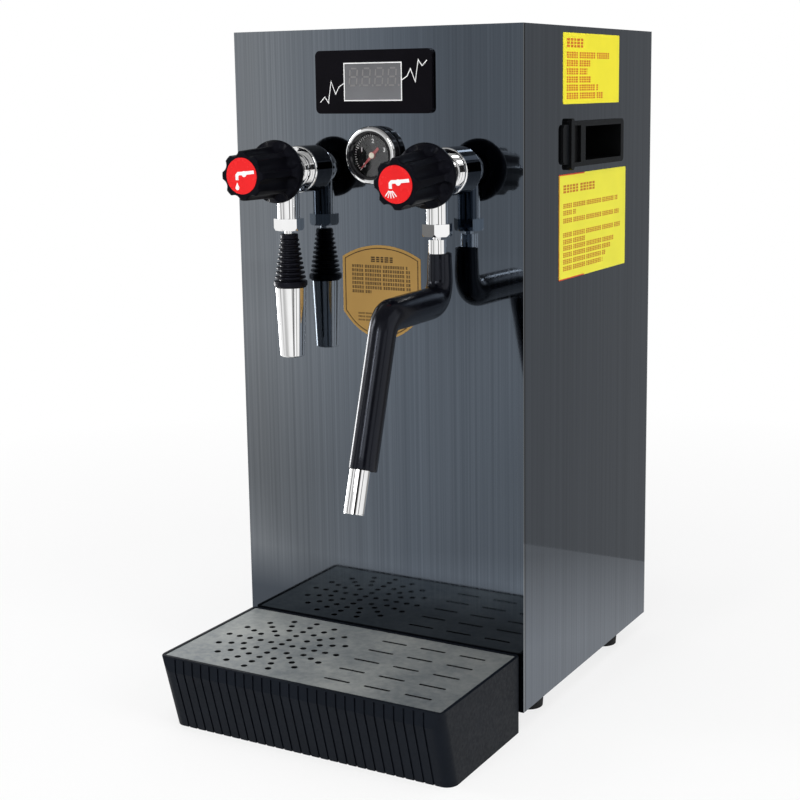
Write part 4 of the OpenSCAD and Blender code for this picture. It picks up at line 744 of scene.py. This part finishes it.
spoutAxis = joints["water_spout_swivel"]["pos_m"]
spoutPlace = Matrix.Translation((spoutAxis[0], spoutAxis[1], 0))
verts, faces = turned(bootProfile(), spoutPlace, bootShape["columns"])
boot = addPiece("spout_boot_ribs", verts, faces, finishes["bootRubber"], "water_spout")
sharpen(boot, bootShape["sharp"])
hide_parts("spout_boot")
print("boot made")


# Heat sleeve of the steam wand, a loose hose over the pipe

sleeveShape = {
    "turn": 2, "outerR": 9.8 * mm, "boreR": 8.1 * mm, "topBoreR": 7.2 * mm, "coreR": 0.3 * mm,
    "sag": 3.6 * mm, "neck": 18.5 * mm, "bend1": 15 * mm, "arm": 57.5 * mm, "bend2": 17.6 * mm,
    "lean": 18.9, "lower": 94 * mm, "edge": 0.7 * mm, "hollow": 7 * mm, "columns": 64, "sharp": 50,
    "neckParts": 4, "bendParts": 16, "armParts": 6, "lowerParts": 10,
    "girth": ((0, 0.89), (4, 0.95), (22, 1.19), (43, 1.0), (53, 1.0))}  # share of outerR by path point


def sleevePath():  # points of reach and height, with the way the hose runs there
    shape = sleeveShape
    sag, bend1, bend2, lean = shape["sag"], shape["bend1"], shape["bend2"], shape["lean"]
    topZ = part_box("wand_ferrule")[0].z
    bendZ = topZ - shape["neck"]
    armZ = bendZ - bend1
    neckParts, bendParts, armParts = shape["neckParts"], shape["bendParts"], shape["armParts"]
    path = [((-sag, topZ - shape["neck"] * i / neckParts), -90) for i in range(neckParts)]
    points = arc(bend1, bendZ, bend1 + sag, 180, 270, bendParts)
    path += [(p, 270 + 90 * i / bendParts) for i, p in enumerate(points)]
    path += [((bend1 + shape["arm"] * i / armParts, armZ - sag), 0) for i in range(1, armParts)]
    points = arc(bend1 + shape["arm"], armZ - bend2, bend2 - sag, 90, lean, bendParts)
    path += [(p, (lean - 90) * i / bendParts) for i, p in enumerate(points)]
    x, z = points[-1]
    down = Vector((math.sin(math.radians(lean)), -math.cos(math.radians(lean))))
    for i in range(1, shape["lowerParts"] + 1):
        step = down * shape["lower"] * i / shape["lowerParts"]
        path.append(((x + step.x, z + step.y), lean - 90))
    return path


def sleeveR(i):  # slimmer at the neck, thicker on the arm between the bends
    stops = sleeveShape["girth"]
    for (a, low), (b, high) in zip(stops, stops[1:]):
        if a <= i < b:
            share = (1 - math.cos(math.pi * (i - a) / (b - a))) / 2
            return sleeveShape["outerR"] * (low + (high - low) * share)


def sleevePiece():
    shape = sleeveShape
    axis = joints["steam_wand_swivel"]["pos_m"]
    place = Matrix.Translation((axis[0], axis[1], 0)) @ turnBy(shape["turn"], "Z")
    path = []
    for (x, z), a in sleevePath():
        turn = math.radians(a)
        path.append((Vector((0, -x, z)), Vector((0, -math.cos(turn), math.sin(turn)))))
    e, hollow, core = shape["edge"], shape["hollow"], shape["coreR"]
    outerR, boreR, topBoreR = shape["outerR"], shape["boreR"], shape["topBoreR"]

    def ring(end, along, r):
        point, way = path[end]
        return point + way * along, way, r

    rows = [ring(0, hollow, core), ring(0, hollow, topBoreR), ring(0, e, topBoreR)]
    lip = arc(topBoreR + e, e, e, 180, 270, 3) + arc(sleeveR(0) - e, e, e, -90, 0, 3)
    rows += [ring(0, y, r) for r, y in lip]
    for i, (point, way) in list(enumerate(path))[1:-1]:  # the thicker part grows upwards only
        rise = max(0, sleeveR(i) - outerR)
        rows.append((point + Vector((0, 0, rise)), way, sleeveR(i)))
    lip = arc(outerR - e, e, e, 0, -90, 3) + arc(boreR + e, e, e, 270, 180, 3)
    rows += [ring(-1, -y, r) for r, y in lip]
    rows += [ring(-1, -hollow, boreR), ring(-1, -hollow, core)]
    side = Vector((1, 0, 0))
    verts = []
    for point, way, r in rows:
        up = way.cross(side)
        for t in allRound(shape["columns"]):
            verts.append(place @ (point + side * r * math.cos(t) + up * r * math.sin(t)))
    faces = gridFaces(len(rows), shape["columns"])
    piece = addPiece("wand_heat_sleeve", verts, faces, finishes["sleeveBlack"],
                     "steam_wand")
    sharpen(piece, shape["sharp"])
    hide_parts("wand_sleeve")


sleevePiece()
print("sleeve made")


# Print on the display: a line round the window, rising lines beside it and unlit digits

displayPrint = {
    "layer": (-0.05 * mm, 0.1 * mm), "line": 0.62 * mm, "frameLine": 0.8 * mm, "riseEnd": -1 * mm,
    "rise": sized((-46.5, -15), (-42.4, -11), (-39.2, -15.4), (-36.6, 0.5), (-32.6, -9), (-29.6, -3.6)),
    "digits": 4, "digitH": 12.6 * mm, "digitW": 6.4 * mm, "digitPitch": 11.2 * mm, "digitUp": 3.6 * mm,
    "segment": 1.25 * mm, "gap": 0.7, "dot": 0.7, "dotOut": 2, "slant": 0.09}


def displayLines():
    look = displayPrint
    low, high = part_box("display_window")
    plate = frontOf("display_bezel", "display_window")
    w, h, line = (high.x - low.x) / 2, (high.z - low.z) / 2, look["frameLine"]
    right, up = w + line / 2, h + line / 2
    corners = [(-right, -up), (right, -up), (right, up), (-right, up)]
    rise = look["rise"] + [(-w - line, look["riseEnd"])]
    fall = [(-x, -y) for x, y in rise]
    parts = [stroke(corners, line, plate, look["layer"], closed=True)]
    parts += [stroke(points, look["line"], plate, look["layer"]) for points in (rise, fall)]
    addPrint("display_lines", parts, finishes["signWhite"], "case")


def displayDigits():
    look = displayPrint
    glass = frontOf("display_window", "display_window", look["digitUp"])
    a, b, s = look["digitW"] / 2, look["digitH"] / 2, look["segment"]
    gap = look["gap"] * s
    bars = [((gap - a, y), (a - gap, y)) for y in (b, 0, -b)]
    bars += [((x, y), (x, y + b - 2 * gap)) for y in (gap, gap - b) for x in (-a, a)]
    parts = []
    for i in range(look["digits"]):
        x0 = (i - (look["digits"] - 1) / 2) * look["digitPitch"]
        for ends in bars:
            points = [(x0 + x + look["slant"] * y, y) for x, y in ends]
            parts.append(stroke(points, s, glass, look["layer"]))
        dot = arc(x0 + a + look["dotOut"] * s, -b, look["dot"] * s, 0, 330, 11)
        parts.append(slab(dot, glass, look["layer"]))
    addPrint("display_digits", parts, finishes["digitGrey"], "case")


displayLines()
displayDigits()
print("display print made")


# Dial marks and plain numbers of the gauge, and the cap of its needle

dialMarks = {
    "outer": 15.9 * mm, "long": 2.4 * mm, "short": 1.3 * mm, "half": 1.4, "wide": 0.6 * mm,
    "thin": 0.36 * mm, "numberR": 10.6 * mm, "numberSize": 4.4 * mm, "bold": 0.12 * mm, "start": 225,
    "sweep": 270, "steps": 4, "parts": 10, "sink": 0.02 * mm, "proud": 0.06 * mm}
hubShape = {"r": 2.3 * mm, "top": 0.6 * mm, "sink": 0.3 * mm, "round": 0.4 * mm, "coreR": 0.05 * mm,
            "dimple": (0.75 * mm, 0.6 * mm), "dimpleDepth": 0.2 * mm, "columns": 48, "sharp": 35}


def numberMesh(text):
    curve = bpy.data.curves.new("number " + text, "FONT")
    curve.body = text
    curve.size = dialMarks["numberSize"]
    curve.align_x = "CENTER"
    curve.align_y = "CENTER"
    curve.extrude = dialMarks["proud"] / 2
    curve.offset = dialMarks["bold"]
    holder = bpy.data.objects.new("number " + text, curve)
    bpy.context.scene.collection.objects.link(holder)
    bpy.context.view_layer.update()
    mesh = bpy.data.meshes.new_from_object(holder.evaluated_get(bpy.context.evaluated_depsgraph_get()))
    verts = [v.co.copy() for v in mesh.vertices]
    faces = [tuple(p.vertices) for p in mesh.polygons]
    bpy.data.objects.remove(holder)
    return verts, faces


def dialPrint():
    look = dialMarks
    dial = frontOf("gauge_dial", "gauge_dial")
    layer = (-look["sink"], look["proud"])
    count = look["steps"] * look["parts"]
    parts = []
    for i in range(count + 1):
        t = math.radians(look["start"] - look["sweep"] * i / count)
        place = i % look["parts"]
        length = look["short"] * (look["half"] if place == look["parts"] // 2 else 1)
        width = look["thin"]
        if place == 0:
            length, width = look["long"], look["wide"]
        ends = [(r * math.cos(t), r * math.sin(t)) for r in (look["outer"] - length, look["outer"])]
        parts.append(stroke(ends, width, dial, layer))
    for i in range(look["steps"] + 1):
        t = math.radians(look["start"] - look["sweep"] * i / look["steps"])
        centre = Vector((look["numberR"] * math.cos(t), look["numberR"] * math.sin(t), look["proud"] / 2))
        verts, faces = numberMesh(str(i))
        parts.append(([dial @ (centre + v) for v in verts], faces))
    addPrint("gauge_dial_marks", parts, finishes["signWhite"], "case")


def needleHub():
    shape = hubShape
    place = frontOf("gauge_needle", "gauge_dial")
    r, top, core, e = shape["r"], shape["top"], shape["coreR"], shape["round"]
    bottom = top - shape["dimpleDepth"]
    rows = [(core, -shape["sink"]), (r, -shape["sink"])] + arc(r - e, top - e, e, 0, 90, 4)
    rows += [(shape["dimple"][0], top), (shape["dimple"][1], bottom), (core, bottom)]
    verts, faces = turned(rows, place, shape["columns"])
    hub = addPiece("gauge_needle_hub", verts, faces, finishes["hubCream"], "gauge_needle")
    sharpen(hub, shape["sharp"])


dialPrint()
needleHub()
print("dial marks made")


# Labels: a gold shield on the front and two yellow cards on the side, with rows of plain hatching

paperGrain = {"cloud": 30, "fibre": 900, "depth": 0.01 * mm, "bump": 0.5, "specular": 0.25,
              "ink": 1500, "inkStops": (0.4, 0.62), "inkWear": 0.25, "inkSpecular": 0.2}


def paper(name, color, ink, vary=0.06, metallic=0.0, roughness=0.5):
    look = paperGrain
    sheet, tree, shader = startMaterial(name, roughness, metallic, look["specular"])
    paint(tree, shader, mottle(tree, noise(tree, look["cloud"], 3), color, vary))
    bump(tree, shader, noise(tree, look["fibre"], 2), look["depth"], look["bump"])
    printed, tree, shader = startMaterial(name + "Ink", roughness, specular=look["inkSpecular"])
    worn = [(1 - look["inkWear"]) * a + look["inkWear"] * b for a, b in zip(ink, color)]
    paint(tree, shader, ramp(tree, noise(tree, look["ink"], 2), look["inkStops"], (ink, worn)))
    return sheet, printed


printMarks = {"widths": (0.82, 0.62, 0.9, 0.74, 0.6, 0.86, 0.68, 0.78), "gap": 0.26, "bar": 0.29,
              "bars": (0.38, 0, -0.38), "least": 0.3, "spaces": (5, 12, 16), "space": 3,
              "titleTurn": 2, "rowTurn": 3}


def printRow(spot, place, layer, turn):  # small hatched blocks without any letters
    look = printMarks
    x, y, length, height = spot
    end = x + length
    count = 0
    parts = []
    while x < end - look["least"] * height:
        w = min(look["widths"][turn % len(look["widths"])] * height, end - x)
        for up in look["bars"]:
            ends = [(x, y + up * height), (x + w, y + up * height)]
            parts.append(stroke(ends, look["bar"] * height, place, layer))
        turn += 1
        count = (count + 1) % look["spaces"][-1]
        x += w + look["gap"] * height * (look["space"] if count in look["spaces"] else 1)
    return parts


shieldShape = {
    "centre": (5.6 * mm, 331 * mm), "halfW": 34.4 * mm, "shoulder": 27.5 * mm, "archUp": 9.5 * mm,
    "side": -15 * mm, "point": -37 * mm, "bow": 4.2 * mm, "bowParts": 9, "bowLean": 0.7,
    "insets": {"shoulder": -0.6, "point": 1.25, "side": 0.35, "archUp": -0.4},
    "layer": (-0.05 * mm, 0.25 * mm), "inkLayer": (0.2 * mm, 0.31 * mm), "border": 2.4 * mm,
    "line": 0.8 * mm, "title": (-9 * mm, 26 * mm, 22 * mm, 4 * mm), "rowX": -26 * mm,
    "rowTop": 20.4 * mm, "rowPitch": 3.25 * mm, "rowH": 2.1 * mm, "rows": (49, 52, 52, 52, 52, 52, 17),
    "foot": (-21 * mm, -16 * mm, 13 * mm, 1.2 * mm), "footRows": 3, "footPitch": 2.6 * mm,
    "color": (0.4, 0.24, 0.07), "ink": (0.022, 0.011, 0.005), "metallic": 0.35, "roughness": 0.42}


def shieldOutline(inset):  # the corners move in by shares that keep the border even
    s = shieldShape
    top, low, side, rise = (s[key] + share * inset for key, share in s["insets"].items())
    halfW = s["halfW"] - inset
    r = (halfW ** 2 + rise ** 2) / (2 * rise)
    a = math.degrees(math.asin(halfW / r))
    left = [(-halfW, side)]
    for i in range(1, s["bowParts"]):  # the lower edge bows a little towards the point
        t = i / s["bowParts"]
        out = s["bowLean"] * s["bow"] * math.sin(math.pi * t)
        left.append((-halfW * (1 - t) - out, side + (low - side) * t - out))
    arch = arc(0, top + rise - r, r, 90 - a, 90 + a, 18)
    return arch + left + [(0, low)] + [(-x, y) for x, y in reversed(left)]


def goldLabel():
    s = shieldShape
    gold, ink = paper("labelGold", s["color"], s["ink"], metallic=s["metallic"], roughness=s["roughness"])
    place = frontFrame(s["centre"][0], panelY, s["centre"][1])
    addPrint("front_label", [slab(shieldOutline(0), place, s["layer"])], gold, "case")
    layer = s["inkLayer"]
    parts = [stroke(shieldOutline(s["border"]), s["line"], place, layer, closed=True)]
    parts += printRow(s["title"], place, layer, printMarks["titleTurn"])
    for i, length in enumerate(s["rows"]):
        row = (s["rowX"], s["rowTop"] - s["rowPitch"] * i, length * mm, s["rowH"])
        parts += printRow(row, place, layer, printMarks["rowTurn"] * i)
    x, y, length, height = s["foot"]
    for i in range(s["footRows"]):
        parts += printRow((x, y - s["footPitch"] * i, length, height), place, layer, i)
    addPrint("front_label_lines", parts, ink, "case")


cardShapes = {  # places are from the front panel back and from the floor up, rows by height and length
    "upper": {"low": (69.5 * mm, 472 * mm), "high": (181 * mm, 525 * mm), "color": (0.9, 0.8, 0.022),
              "ink": (0.62, 0.1, 0.008), "title": (0.36, 0.32), "titleH": 6.4 * mm, "lineH": 4.4 * mm,
              "lines": ((0.19, 0.86), (0.075, 0.48), (-0.04, 0.4), (-0.155, 0.47), (-0.27, 0.62),
                        (-0.385, 0.74))},
    "lower": {"low": (62.6 * mm, 339 * mm), "high": (197.5 * mm, 419.5 * mm), "color": (0.84, 0.79, 0.05),
              "ink": (0.5, 0.12, 0.012), "title": (0.36, 0.46), "titleH": 5.8 * mm, "lineH": 3.4 * mm,
              "lines": ((0.2, 0.92), (0.135, 0.2), (0.06, 0.95), (-0.075, 0.97), (-0.14, 0.36),
                        (-0.2, 0.86), (-0.265, 0.8), (-0.33, 0.72), (-0.395, 0.66))}}
cardPaper = {"corner": 1.2 * mm, "layer": (-0.05 * mm, 0.2 * mm), "inkLayer": (0.15 * mm, 0.25 * mm),
             "margin": 0.06, "vary": 0.03}
cardEdge = {"color": (0.62, 0.05, 0.02), "ink": (0.5, 0.04, 0.02), "line": 0.9 * mm, "length": 0.36}


def sideCard(key):
    look = cardShapes[key]
    yellow, ink = paper("card" + key.capitalize(), look["color"], look["ink"], vary=cardPaper["vary"])
    w, h = (look["high"][i] - look["low"][i] for i in (0, 1))
    y, z = ((look["high"][i] + look["low"][i]) / 2 for i in (0, 1))
    place = planeFrame((0, 1, 0), (0, 0, 1), (sideX, panelY + y, z))
    sheet = slab(roundedBox(w, h, cardPaper["corner"]), place, cardPaper["layer"])
    addPrint(key + "_side_card", [sheet], yellow, "case")
    layer, margin = cardPaper["inkLayer"], cardPaper["margin"] * w
    left = margin - w / 2
    title = (left, look["title"][0] * h, look["title"][1] * w, look["titleH"])
    parts = printRow(title, place, layer, printMarks["titleTurn"])
    for i, (up, share) in enumerate(look["lines"]):
        row = (left, up * h, share * (w - 2 * margin), look["lineH"])
        parts += printRow(row, place, layer, printMarks["rowTurn"] * i)
    addPrint(key + "_side_card_lines", parts, ink, "case")
    if key == "lower":  # a red line round its front end
        red = paper("cardEdge", cardEdge["color"], cardEdge["ink"])[0]
        line, end = cardEdge["line"], cardEdge["length"] * w - w / 2
        right, up = w / 2 - line / 2, h / 2 - line / 2
        edge = stroke([(end, up), (-right, up), (-right, -up), (end, -up)], line, place, layer)
        addPrint("lower_side_card_edge", [edge], red, "case")


goldLabel()
for key in cardShapes:
    sideCard(key)
print("labels made")


# Studio: pale floor, soft lamps, screens that only show in reflections

rightTones = ((36, 1.0), (41, 0.1), (45, 0.1), (50, 1.0), (69, 1.0), (72, 0.08), (75, 0.08), (79, 0.95),
              (118, 0.9), (128, 0.12), (140, 0.3), (180, 0.34))
mirrorTones = {  # greys of the surroundings by the way they lie from the taps, front being 0 degrees
    "near": ((-180, 0.5), (-110, 0.8), (-72, 0.95), (-62, 0.95), (-49, 0.9), (-44, 0.62), (-37, 0.57),
             (-20, 0.38), (-8, 0.38), (8, 0.95)) + rightTones,
    "far": ((-180, 0.5), (-110, 0.9), (-72, 1.0), (-62, 1.0), (-58, 0.17), (-49, 0.17), (-44, 1.0),
            (-37, 1.0), (-27, 0.4), (-20, 0.45), (-5, 0.9)) + rightTones,
    "high": ((-180, 0.3), (-120, 0.9), (-104, 0.9), (-92, 0.2), (-40, 0.2), (-20, 0.4), (40, 0.4),
             (62, 0.2), (70, 0.75), (112, 0.75), (124, 0.15), (180, 0.2))}
mirrorCentre = (0, -0.08)


def turnTones(tree, key):
    x = math2(tree, "SUBTRACT", axisPlace(tree, "X"), mirrorCentre[0])
    y = math2(tree, "SUBTRACT", mirrorCentre[1], axisPlace(tree, "Y"))
    turn = spread(tree, math2(tree, "ARCTAN2", x, y), 0, 1, -math.pi, math.pi)
    places = [(a + 180) / 360 for a, tone in mirrorTones[key]]
    return ramp(tree, turn, places, [(tone, tone, tone) for a, tone in mirrorTones[key]])


def emitter(name, strength):
    material = bpy.data.materials.new(name)
    material.use_nodes = True
    tree = material.node_tree
    tree.nodes.remove(tree.nodes["Principled BSDF"])
    light = tree.nodes.new("ShaderNodeEmission")
    light.inputs["Color"].default_value = (strength, strength, strength, 1)
    tree.links.new(light.outputs["Emission"], tree.nodes["Material Output"].inputs["Surface"])
    return material


def rayKinds(tree):  # camera rays, and rays that show in metal and glass
    rays = tree.nodes.new("ShaderNodeLightPath").outputs
    mirrored = math2(tree, "MAXIMUM", rays["Is Glossy Ray"], rays["Is Transmission Ray"])
    return rays["Is Camera Ray"], mirrored


def stageCard(name, verts, faces, material):
    mesh = bpy.data.meshes.new(name)
    mesh.from_pydata(verts, [], faces)
    mesh.materials.append(material)
    card = bpy.data.objects.new(name, mesh)
    bpy.context.scene.collection.objects.link(card)
    return card


def glossCard(name, verts, faces, material):
    card = stageCard(name, verts, faces, material)
    card.visible_camera = False
    card.visible_diffuse = False
    card.visible_transmission = False
    card.visible_shadow = False


def levelCorners(s, z):
    return [(-s, -s, z), (s, -s, z), (s, s, z), (-s, s, z)]


floorLook = {"size": 6, "color": (0.86, 0.86, 0.86), "glow": 0.75, "fade": (0.5, 1.1), "roughness": 0.9,
             "specular": 0.1, "mirrorShare": 0.85, "mirrorReach": (0.8, 2.1), "mirrorStart": (0.22, 0.46),
             "mirrorMiddle": (0.7, 0.7, 0.7)}


def makeFloor():
    look = floorLook
    material, tree, shader = startMaterial("paleFloor", look["roughness"], specular=look["specular"])
    shader.inputs["Base Color"].default_value = (*look["color"], 1)
    glow = tree.nodes.new("ShaderNodeEmission")
    mix = tree.nodes.new("ShaderNodeMixShader")
    away = tree.nodes.new("ShaderNodeVectorMath")
    away.operation = "LENGTH"
    tree.links.new(coords(tree), away.inputs[0])
    distance = away.outputs["Value"]
    camera, mirrored = rayKinds(tree)
    seen = times(tree, camera, spread(tree, distance, look["glow"], 1.0, *look["fade"]))
    share = math2(tree, "MAXIMUM", seen, times(tree, mirrored, look["mirrorShare"]))
    tree.links.new(share, mix.inputs["Fac"])
    reach = spread(tree, distance, 0, 1, *look["mirrorReach"])
    tones = blendColor(tree, reach, turnTones(tree, "near"), turnTones(tree, "far"))
    start = spread(tree, distance, 0, 1, *look["mirrorStart"])  # one grey under the machine
    tones = blendColor(tree, start, look["mirrorMiddle"], tones)
    tree.links.new(blendColor(tree, mirrored, (1.0, 1.0, 1.0), tones), glow.inputs["Color"])
    tree.links.new(shader.outputs["BSDF"], mix.inputs[1])
    tree.links.new(glow.outputs["Emission"], mix.inputs[2])
    tree.links.new(mix.outputs["Shader"], tree.nodes["Material Output"].inputs["Surface"])
    stageCard("floor", levelCorners(look["size"], 0), [(0, 1, 2, 3)], material)


screens = {  # standing curved screens
    "front_card": {"reach": 3.2, "turns": (-180, 180), "rise": (0.002, 1.5), "parts": 96, "tones": "far"},
    "high_card": {"reach": 3.4, "turns": (-180, 180), "rise": (1.5, 4.2), "parts": 96, "tones": "high"},
    "lens_card": {"reach": 1.45, "turns": (24, 39), "rise": (0.3, 0.85), "parts": 8, "grey": 0.02},
    "strip_card": {"reach": 3.1, "turns": (4, 20), "rise": (1.2, 1.95), "parts": 8, "grey": 3.0},
    "edge_card": {"reach": 1.2, "turns": (-114, -94), "rise": (0.01, 0.5), "parts": 8, "grey": 10},
    "shine_card": {"reach": 2.23, "turns": (-9.6, -3.2), "rise": (1.0, 1.7), "parts": 4, "grey": 13}}
roofCard = {"size": 3.4, "z": 4.2, "grey": 0.22}
backCard = {"y": 0.373, "left": -0.3, "right": 0.6, "rise": (0.002, 4), "grey": 0.27}


def makeCards():
    for name, look in screens.items():
        material = emitter(name, look.get("grey", 1.0))
        if "tones" in look:
            tree = material.node_tree
            tree.links.new(turnTones(tree, look["tones"]), tree.nodes["Emission"].inputs["Color"])
        start, end = (a - 90 for a in look["turns"])
        foot = arc(*mirrorCentre, look["reach"], start, end, look["parts"])
        verts = [(x, y, z) for z in look["rise"] for x, y in foot]
        glossCard(name, verts, gridFaces(2, len(foot), closed=False), material)
    corners = levelCorners(roofCard["size"], roofCard["z"])
    glossCard("roof_card", corners, [(0, 1, 2, 3)], emitter("roofGrey", roofCard["grey"]))
    ends = (backCard["left"], backCard["right"])
    corners = [(x, backCard["y"], z) for z in backCard["rise"] for x in ends]
    glossCard("back_card", corners, [(0, 1, 3, 2)], emitter("backGrey", backCard["grey"]))


ambient = 0.6  # the world's light on the object


def makeWorld():
    world = bpy.data.worlds.new("studio")
    bpy.context.scene.world = world
    world.use_nodes = True
    tree = world.node_tree
    back = tree.nodes["Background"]
    back.inputs["Color"].default_value = (1, 1, 1, 1)
    seen = math2(tree, "MAXIMUM", *rayKinds(tree))
    tree.links.new(spread(tree, seen, ambient, 1.0, 0, 1), back.inputs["Strength"])


lamps = {
    "front": {"place": (-0.25, -2.3, 0.95), "aim": (0, -0.05, 0.3), "size": (0.25, 1.3), "power": 14},
    "left": {"place": (-2.0, -0.9, 1.3), "aim": (0, 0, 0.25), "size": (0.8, 0.9), "power": 12},
    "right": {"place": (1.7, -0.5, 1.2), "aim": (0.1, 0.05, 0.3), "size": (0.8, 0.9), "power": 11},
    "above": {"place": (0.3, -0.6, 2.4), "aim": (0, 0, 0.2), "size": (1.2, 1.2), "power": 14}}
glossLamp = "left"  # the one lamp that shows in reflections


def makeLamps():
    for name, look in lamps.items():
        lamp = bpy.data.lights.new(name, "AREA")
        lamp.shape = "RECTANGLE"
        lamp.size, lamp.size_y = look["size"]
        lamp.energy = look["power"]
        holder = bpy.data.objects.new(name + "_lamp", lamp)
        holder.location = look["place"]
        holder.visible_glossy = name == glossLamp
        way = Vector(look["aim"]) - Vector(look["place"])
        holder.rotation_euler = way.to_track_quat("-Z", "Y").to_euler()
        bpy.context.scene.collection.objects.link(holder)


cameraView = {"place": (0.593, -1.0503, 0.4856), "yaw": 29.236, "pitch": -9.9, "roll": -0.732,
              "lens": 68.34, "sensor": 36, "shift": (-0.025, -0.059), "nearest": 0.01}


def makeCamera():
    look = cameraView
    data = bpy.data.cameras.new("camera")
    data.lens = look["lens"]
    data.sensor_width = look["sensor"]
    data.shift_x, data.shift_y = look["shift"]
    data.clip_start = look["nearest"]
    holder = bpy.data.objects.new("camera", data)
    turn = turnBy(look["yaw"], "Z") @ turnBy(90 + look["pitch"], "X") @ turnBy(look["roll"], "Z")
    holder.matrix_world = Matrix.Translation(look["place"]) @ turn
    bpy.context.scene.collection.objects.link(holder)
    bpy.context.scene.camera = holder


makeFloor()
makeWorld()
makeLamps()
makeCamera()
makeCards()
bpy.context.scene.view_settings.view_transform = "Standard"
print("studio ready")
